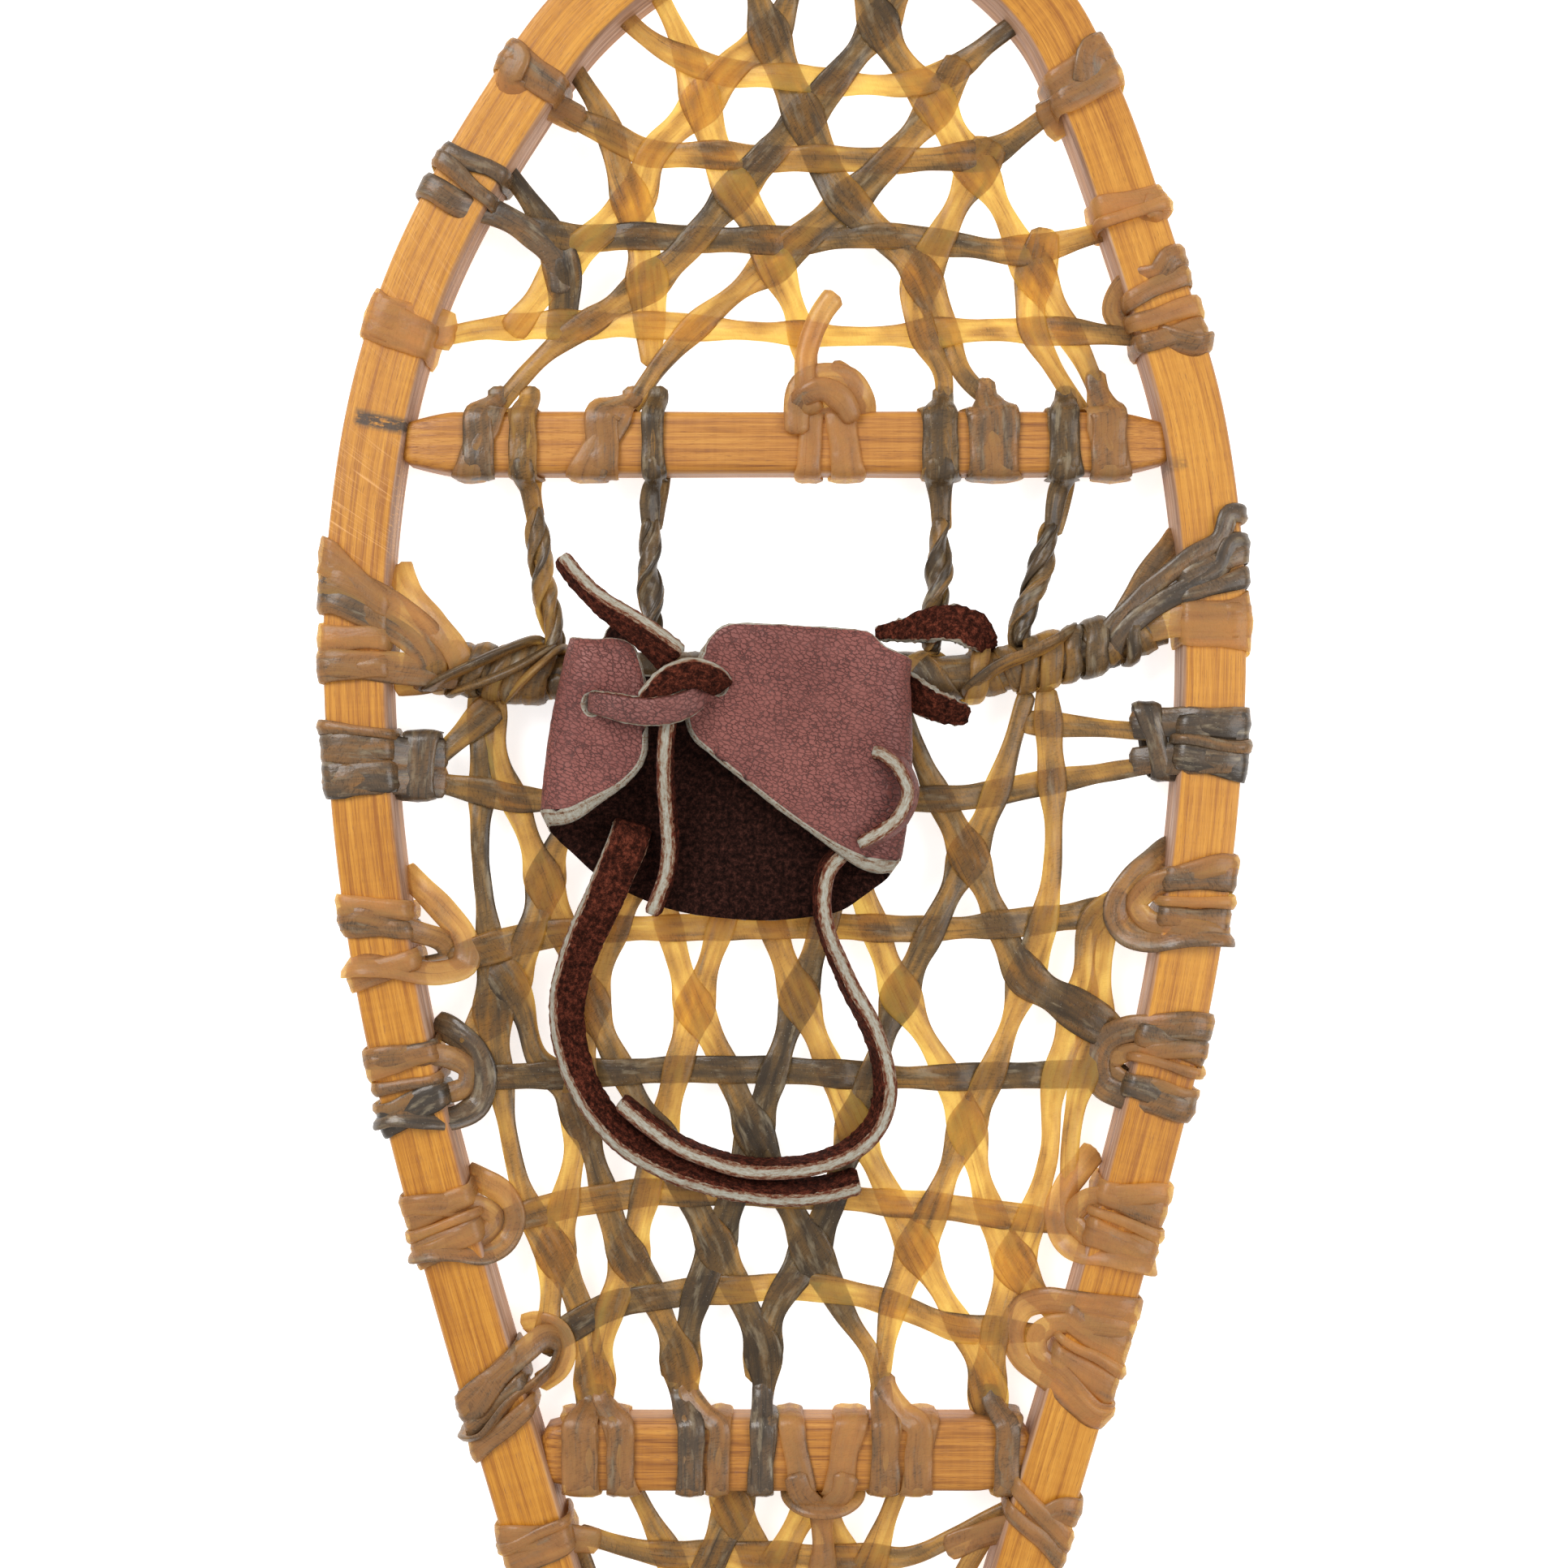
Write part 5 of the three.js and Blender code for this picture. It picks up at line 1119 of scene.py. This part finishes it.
STRINGER_LINES = [
    [(-63.6, 233), (-62.6, 227), (-61.2, 215), (-59.6, 204), (-57.6, 194.6)],
    [(-33.4, 233), (-33.6, 224), (-33.6, 210), (-33.4, 194.6)],
    [(38.6, 233), (39, 224), (38.6, 212), (37.6, 203), (37, 194.6)],
    [(68.2, 233), (66.4, 223), (63.6, 211), (60.8, 203), (58.6, 196.2)],
]


def make_stringer(number, x, width, lean, tone, line):
    """A stringer wrapped on the front crossbar, twisted down to the master cord."""
    shape = Shape()
    seed = 600 + number * 9
    y = FRONT_BAR_Y
    bar_band(shape, y, x, width, lean, tone, seed)
    bar_lead(shape, y, x, x + 1, 254, width, tone - .1, seed + 1)
    low = y - BAR_WIDTHS[y] / 2
    (x0, y0), (x1, y1), end = line[0], line[1], line[-1]
    tie(shape, [(x, low + 4, BAR_TOP + 1), (x, low - .6, BAR_TOP), (x, low - 1.8, BAR_TOP - 3),
                (x0, y0 - 2, CORD_MID + 1), (x1, y1 - 3, CORD_MID)],
        [width * .8, width * .8, 5.4, 4.4], 2, tone, seed + 2)
    tie(shape, [(x + 2, low + 3, 3), (x + 1.4, low - 3, 5.4), (x1 + .6, y1 - 3, CORD_MID - 1)], 4.4, 2,
        tone - .25, seed + 7)
    path = smooth_line([(px, py, CORD_MID) for px, py in line[1:]] + [(end[0], end[1] - 4, CORD_MID + 1)])
    twist(shape, path, [4.6, 6.8, 7.2, 6.4, 5.2], [2.6, 3.4, 3.6, 3.2], 27, tone, seed + 3, phase=number)
    coil(shape, path, [1.3, 2.2, 2.4, 1.8], 27, 4.2, tone - .14, seed + 5,
         phase=number * 2.0, thick=1.7, edge=.2)
    coil(shape, path, [1.3, 2.4, 2.5, 1.8], 27, 3, tone + .1, seed + 6, phase=number * 2.0 + 2.6, thick=1.5)
    shape.build(f"toe_hole_stringer_{number}", RAWHIDE, "dark_rawhide")


def make_master_cord():
    """The bundle across the toe hole: a lumpy core under coils, bands and slanting ties."""
    shape = Shape()
    path = smooth_line([(x, y, CORD_MID) for x, y in MASTER_CORD])
    s = arc(path)
    lump = 1 + 0.07 * rough(s, 0.12, 3) + 0.05 * rough(s, 0.4, 4)
    section = strip_section(20) * (CORD_RADIUS * lump)[:, None, None]
    sweep(shape, path, section, s, 0.6 + 0.15 * rough(s, 0.1, 9))
    for x0, x1, radius, pitch, width, tone, seed, phase, edge in MASTER_COILS:
        part = path[(path[:, 0] >= x0) & (path[:, 0] <= x1)]
        coil(shape, part, radius, pitch, width, tone, seed, phase, edge)
    for x, width, tone, radius in MASTER_BANDS:
        index = int(np.argmin(np.abs(path[:, 0] - x)))
        along = path[index + 1] - path[index - 1]
        across = np.cross(UP, along / np.linalg.norm(along))
        ring(shape, path[index], across, radius - .9, radius - .9, radius - 1, width, tone, int(720 + x),
             lean=1.8, thick=1.5)
    for points, width, tone, seed, edge in MASTER_TIES:
        tie(shape, points, width, 2.2, tone, seed, edge=edge)
    shape.build("master_cord", RAWHIDE, "dark_rawhide")


def make_tail_lashings():
    for number, (y, turns, apart) in enumerate(((-280, 3, 5.5), (-356, 2, 7)), 1):
        shape = Shape()
        for i in range(turns):
            centre = 0, y + (i - (turns - 1) / 2) * apart, RAIL_MID
            ring(shape, centre, (1, 0, 0), RAIL_WIDTH + .3, RAIL_THICKNESS / 2 - .2, 2.4, 5.6, .5 + .1 * i,
                 800 + number * 5 + i, lean=.8)
        shape.build(f"tail_lashing_{number}", RAWHIDE, "dark_rawhide")


# ---------------------------------------------------------------- leather toe piece
LEFT_FOLD = ((-52.2, 151), (-45.6, 192))
RIGHT_FOLD = ((20.4, 139), (24.2, 187))
LEFT_FLAP = [(-52.2, 151, 4), (-46, 155, 4), (-39, 159, 6), (-33.6, 165, 4), (-33.4, 184, 6),
             (-36.6, 192.6, 3), (-41, 194, 4), (-45.6, 193.4, 3)]
RIGHT_FLAP = [(23.4, 192, 6), (20.5, 195.6, 5), (2, 197, 20), (-15.6, 197.6, 6), (-20.6, 189.6, 8),
              (-23.8, 175.6, 4), (-22.4, 170.6, 3), (-2, 154, 20), (12, 144, 12), (20.4, 139, 7)]
SOLE_FRONT = [(21, 186, 4), (4, 187, 8), (-24, 187, 6), (-29.6, 184.6, 2), (-37.6, 184.8, 1.5),
              (-39, 196.4, 1.5), (-43, 197.4, 2), (-44.6, 192.4, 2)]
SOLE_BACK = [(-53, 143, 3), (-45.6, 135.4, 6), (-28, 127, 12), (-4, 124.6, 20), (14, 127.2, 10),
             (19.8, 132, 4)]
# The edge halfway round each fold, at the heel end.
LEFT_BEND, RIGHT_BEND = (-61, 150.6, 4), (29.4, 139, 4)
# [x, y, half width, half height] of each hole
LACE_HOLES = [(-45.8, 178.8, 2.2, 3.0), (-15.6, 183.2, 1.8, 2.4)]
STRAP_SLOTS = [(-38.6, 146, 3.8, 1.3), (14.4, 143.6, 1.2, 3.4)]
MID = LEATHER / 2
ROLL = FOLD_RADIUS - MID
LEATHER_STEP = 1.7
DIP_START, DIP_REACH, DIP = 186, 12, 0.022  # the sole's front bends down over the cord
HOLLOW_X, HOLLOW_REACH, HOLLOW = -16, 22, 0.5  # and its middle is a little worn down


def fold_axes(fold, outward):
    """A fold line's start, the direction along it and the direction out of the sole."""
    start, end = np.array(fold, float)
    along = (end - start) / np.linalg.norm(end - start)
    return start, along, np.array([along[1], -along[0]]) * outward


def unfold(points, fold, outward):
    """Where the flap's points lie when the leather is opened flat."""
    start, _, out = fold_axes(fold, outward)
    rows = np.array(points, float)
    inside = -(rows[:, :2] - start) @ out
    flat = rows[:, :2] + out * (2 * inside + math.pi * ROLL)[:, None]
    return np.column_stack([flat, rows[:, 2]])


def refold(flat):
    """The flat leather's points, folded over its two fold lines."""
    place = np.column_stack([flat, np.full(len(flat), SOLE_BOTTOM + MID)])
    front = np.clip(flat[:, 1] - DIP_START, 0, DIP_REACH)
    middle = np.exp(-(((flat[:, 0] - HOLLOW_X) / HOLLOW_REACH) ** 2))
    place[:, 2] -= DIP * front**2 + HOLLOW * middle
    for fold, outward, bulge in ((LEFT_FOLD, -1, 1.4), (RIGHT_FOLD, 1, 2.0)):
        start, along, out = fold_axes(fold, outward)
        d = (flat - start) @ out
        a = (flat - start) @ along
        turn = np.clip(d / ROLL, 0, math.pi)
        past = np.maximum(d - math.pi * ROLL, 0)
        foot = flat - out * d[:, None]
        swell = bulge * np.sin(np.clip((a + 6) / 52, 0, 1) * 3.4) * np.sin(turn)
        bent = foot + out * (ROLL * np.sin(turn) + swell - past)[:, None]
        dome = 1.1 * np.sin(np.clip(past / 42, 0, 1) * math.pi)
        ripple = 0.35 * np.sin(a * 0.16) * np.clip(past / 8, 0, 1)
        height = ROLL * (1 - np.cos(turn)) + dome + ripple
        use = d > 0
        place[use, :2] = bent[use]
        place[use, 2] += height[use]
    return place


def rounded(points, step):
    """A closed outline of [x, y, corner radius] points with its corners rounded."""
    rows = np.array(points, float)
    p = rows[:, :2]
    out = []
    for i in range(len(p)):
        before, here, after = p[i - 1], p[i], p[(i + 1) % len(p)]
        to_before, to_after = before - here, after - here
        lb, la = np.linalg.norm(to_before), np.linalg.norm(to_after)
        cut = min(rows[i, 2], lb * 0.48, la * 0.48)
        a, b = here + to_before / lb * cut, here + to_after / la * cut
        for t in np.linspace(0, 1, 6):
            out.append((1 - t) ** 2 * a + 2 * t * (1 - t) * here + t**2 * b)
    out = np.array(out + out[:1])
    return spaced(out, 2, step)[:-1]


def inside(points, outline):
    """Which points lie inside a closed outline."""
    x, y = points[:, :1], points[:, 1:]
    x0, y0 = outline[:, 0], outline[:, 1]
    x1, y1 = np.roll(x0, -1), np.roll(y0, -1)
    spans = (y0 > y) != (y1 > y)
    with np.errstate(divide="ignore", invalid="ignore"):
        at = x0 + (y - y0) * (x1 - x0) / (y1 - y0)
    return np.count_nonzero(spans & (x < at), axis=1) % 2 == 1


def edge_lean(flat):
    """How far the cut edge leans: hardly at the front, most where the leather rolls round at the heel end."""
    lean = np.where(flat[:, 1] > 184, 0.12, 0.62)
    for fold, outward in ((LEFT_FOLD, -1), (RIGHT_FOLD, 1)):
        start, along, out = fold_axes(fold, outward)
        up, turn = (flat - start) @ along - 2, (flat - start) @ out - math.pi * ROLL * 0.7
        lean += 1.5 * np.exp(-((up / 10) ** 2) - (turn / 13) ** 2)
    return lean


def triangles(outline, holes, step, rng):
    """Even triangles between a flat outline and its holes: points, and three numbers for each triangle."""
    def on_sheet(points):
        return inside(points, outline) & ~np.any([inside(points, hole) for hole in holes], axis=0)

    low, high = outline.min(0), outline.max(0)
    gx, gy = np.meshgrid(np.arange(low[0], high[0], step), np.arange(low[1], high[1], step * 0.87))
    gx = gx + (np.arange(gx.shape[0]) % 2)[:, None] * step / 2
    grid = np.column_stack([gx.ravel(), gy.ravel()]) + rng.normal(0, step * 0.08, (gx.size, 2))
    keep = on_sheet(grid)
    for line in [outline, *holes]:
        keep &= np.min(np.linalg.norm(grid[:, None] - line[None], axis=2), axis=1) > step * 0.85
    points, starts = [*outline, *grid[keep]], [0]
    for hole in holes:
        starts.append(len(points))
        points += list(hole)
    edges = [(first + i, first + (i + 1) % len(line)) for first, line in zip(starts, [outline, *holes])
             for i in range(len(line))]
    made = geometry.delaunay_2d_cdt([Vector(p) for p in points], edges, [], 0, 1e-5)
    flat, tris = np.array([tuple(v) for v in made[0]]), np.array(made[2])
    return flat, tris[on_sheet(flat[tris].mean(1))]


def sheet_normals(co, tris):
    corners = co[tris]
    face_normal = np.cross(corners[:, 1] - corners[:, 0], corners[:, 2] - corners[:, 0])
    normal = np.zeros_like(co)
    for k in range(3):
        np.add.at(normal, tris[:, k], face_normal)
    return normal / np.maximum(np.linalg.norm(normal, axis=1), 1e-9)[:, None]


def sheet_border(co, tris, normal):
    """The sheet's open edges, and at each point on them the direction out of the sheet."""
    directed = [edge for a, b, c in tris.tolist() for edge in ((a, b), (b, c), (c, a))]
    known = set(directed)
    border = [(a, b) for a, b in directed if (b, a) not in known]
    outward = np.zeros_like(co)
    for a, b in border:
        out = np.cross(co[b] - co[a], normal[a])
        outward[a] += out
        outward[b] += out
    length = np.linalg.norm(outward, axis=1)
    outward[length > 0] /= length[length > 0][:, None]
    return border, outward


def leather_sheet(shape, outline, holes, step, seed):
    """A leather sheet of even thickness over a flat outline, folded, with a rounded cut edge."""
    rng = np.random.default_rng(seed)
    flat, tris = triangles(outline, holes, step, rng)
    co = refold(flat)
    normal = sheet_normals(co, tris)
    border, outward = sheet_border(co, tris, normal)
    n = len(co)
    place = np.column_stack([flat, np.zeros(n)])
    nap = rng.normal(0, 0.05, n)
    lean = edge_lean(flat)[:, None]
    upper, lower = shape.count, shape.count + n
    shape.add(co + normal * MID + outward * lean, place, 0.0, 0.0, tris.tolist())
    shape.add(co - normal * (MID + nap)[:, None] - outward * lean, place, 1.0, 0.0, tris[:, ::-1].tolist())
    used = sorted({v for edge in border for v in edge})
    index = {v: i for i, v in enumerate(used)}
    rows = []
    for through in (0.6, 0.0, -0.6):
        wobble = rng.normal(0, 0.1, (len(used), 1))
        out = outward[used] * (lean[used] * through + 0.45 * (1 - through**2) + wobble)
        rows.append(shape.count)
        at = co[used] + normal[used] * through * MID + out
        shape.add(at, place[used] + (0, 0, through * 1.5), 1.0, 0.0, [])
    for a, b in border:
        stack_a, stack_b = ([upper + v, *(row + index[v] for row in rows), lower + v] for v in (a, b))
        for k in range(len(rows) + 1):
            shape.faces.append([stack_a[k], stack_a[k + 1], stack_b[k + 1], stack_b[k]])
            shape.rim.append(1.0)


def oval(x, y, rx, ry, count=18):
    a = 2 * np.pi * np.arange(count) / count
    return np.column_stack([x + rx * np.cos(a), y + ry * np.sin(a)])


def make_toe_piece():
    """One piece of leather: a sole, and a flap on each side that folds over it, with the suede inside."""
    right = unfold(RIGHT_FLAP[::-1], RIGHT_FOLD, 1)
    left = unfold(LEFT_FLAP[::-1], LEFT_FOLD, -1)
    outline = rounded([*SOLE_BACK, RIGHT_BEND, *right, *SOLE_FRONT, *left, LEFT_BEND], 1.5)
    holes = []
    for x, y, rx, ry in LACE_HOLES:
        fold, outward = (LEFT_FOLD, -1) if x < -30 else (RIGHT_FOLD, 1)
        cx, cy, _ = unfold([(x, y, 0)], fold, outward)[0]
        holes.append(oval(cx, cy, rx, ry))
    holes += [oval(*slot) for slot in STRAP_SLOTS]
    shape = Shape()
    leather_sheet(shape, outline, holes, LEATHER_STEP, 31)
    obj = shape.build("toe_piece", GRAIN_LEATHER, "grain_leather", "binding", True)
    x, y = outline[:, 0], outline[:, 1]


LACE_KNOT = [
    (-46.4, 178.8, 27.4, 6), (-45, 178.8, 31, 8), (-41.4, 178.2, 33.6, 12), (-35, 177, 34.6, 16),
    (-28, 177.2, 35, 14), (-23, 179, 34.2, 8), (-20.6, 181.4, 32, 0), (-21.6, 183.4, 30.6, -10),
]
LACE_KNOT_OVER = [
    (-15.4, 182.4, 27, -10), (-15.8, 183.4, 31, -20), (-18.4, 185.2, 34.6, -30), (-22.4, 186, 36, -34),
    (-26.8, 184.8, 36, -34), (-30.6, 182, 35, -26), (-33.6, 179.4, 33, -10),
]
SIDE_THONG = [
    (22.6, 166.4, 28, 104), (24.6, 166.2, 31, 106), (27.8, 163.4, 32.8, 108), (30, 157.6, 33, 106),
    (28, 151.8, 33, 104), (24, 148, 32.8, 102), (18.4, 144.6, 31, 100),
]


def make_laces():
    shape = Shape()
    strap(shape, LACE_KNOT, 6.6, 2.8, 11, grain_up=True, widths=[.75, 1, 1.05, .9])
    strap(shape, LACE_KNOT_OVER, 7, 3, 12, widths=[.8, 1, 1.05, .9, .6])
    shape.build("toe_lace_knot", LACE_LEATHER, "lace_leather", "binding", True)
    shape = Shape()
    strap(shape, SIDE_THONG, 5, 3.6, 13, grain_up=True)
    shape.build("side_lace", LACE_LEATHER, "lace_leather", "binding", True)


def make_tie_thong():
    """A thong that comes from under the right flap, passes behind the cord and shows its tip below it."""
    shape = Shape()
    strap(shape, [(22.6, 195.4, 8.6, 10), (28, 195.8, 9.4, 16), (34, 196.8, 12, 22), (40, 197.6, 15.2, 24),
                  (45, 196.4, 15.8, 24), (49.4, 193.4, 13.6, 16), (50.4, 190.4, 7, 0), (46.6, 183.6, 2.4, 0),
                  (42, 178.4, 3.6, 0), (40, 176, 8, 0)],
          8.4, 2.6, 22, fuzz=0.36, widths=[.4, .65, 1.0, 1.15, 1.1, .66, .42, .4, .4, .4])
    strap(shape, [(27, 183.4, 12.4, -10), (31, 180.6, 15.2, -30), (36, 177.6, 16.2, -34),
                  (41.4, 175.6, 15.2, -30), (45, 174.8, 12.4, -14)], 8.6, 2.8, 23, fuzz=0.36,
          widths=[.8, 1.0, .98, .85, .5])
    shape.build("tie_thong", LACE_LEATHER, "lace_leather")


# ---------------------------------------------------------------- build
make_studio()
make_straps()
make_rail()
make_crossbar("front_crossbar", FRONT_BAR_Y, 1)
make_crossbar("rear_crossbar", REAR_BAR_Y, 2)
make_web("toe_webbing", (TOE_ACROSS, TOE_RIGHTWARD, TOE_LEFTWARD), 100)
make_web("body_webbing", (BODY_ACROSS, BODY_RIGHTWARD, BODY_LEFTWARD), 200)
make_web("tail_webbing", (TAIL_ACROSS, TAIL_RIGHTWARD, TAIL_LEFTWARD), 300)
for lashing_index, lashing_name in enumerate(LASHINGS):
    make_lashing(lashing_index, lashing_name)
make_bar_wraps("front_crossbar", FRONT_BAR_Y, FRONT_WRAPS)
make_bar_wraps("rear_crossbar", REAR_BAR_Y, REAR_WRAPS)
make_front_knot()
make_rear_knot()
for stringer, stringer_line in zip(FRONT_STRINGERS, STRINGER_LINES):
    make_stringer(*stringer, stringer_line)
make_master_cord()
make_tail_lashings()
make_toe_piece()
make_laces()
make_tie_thong()
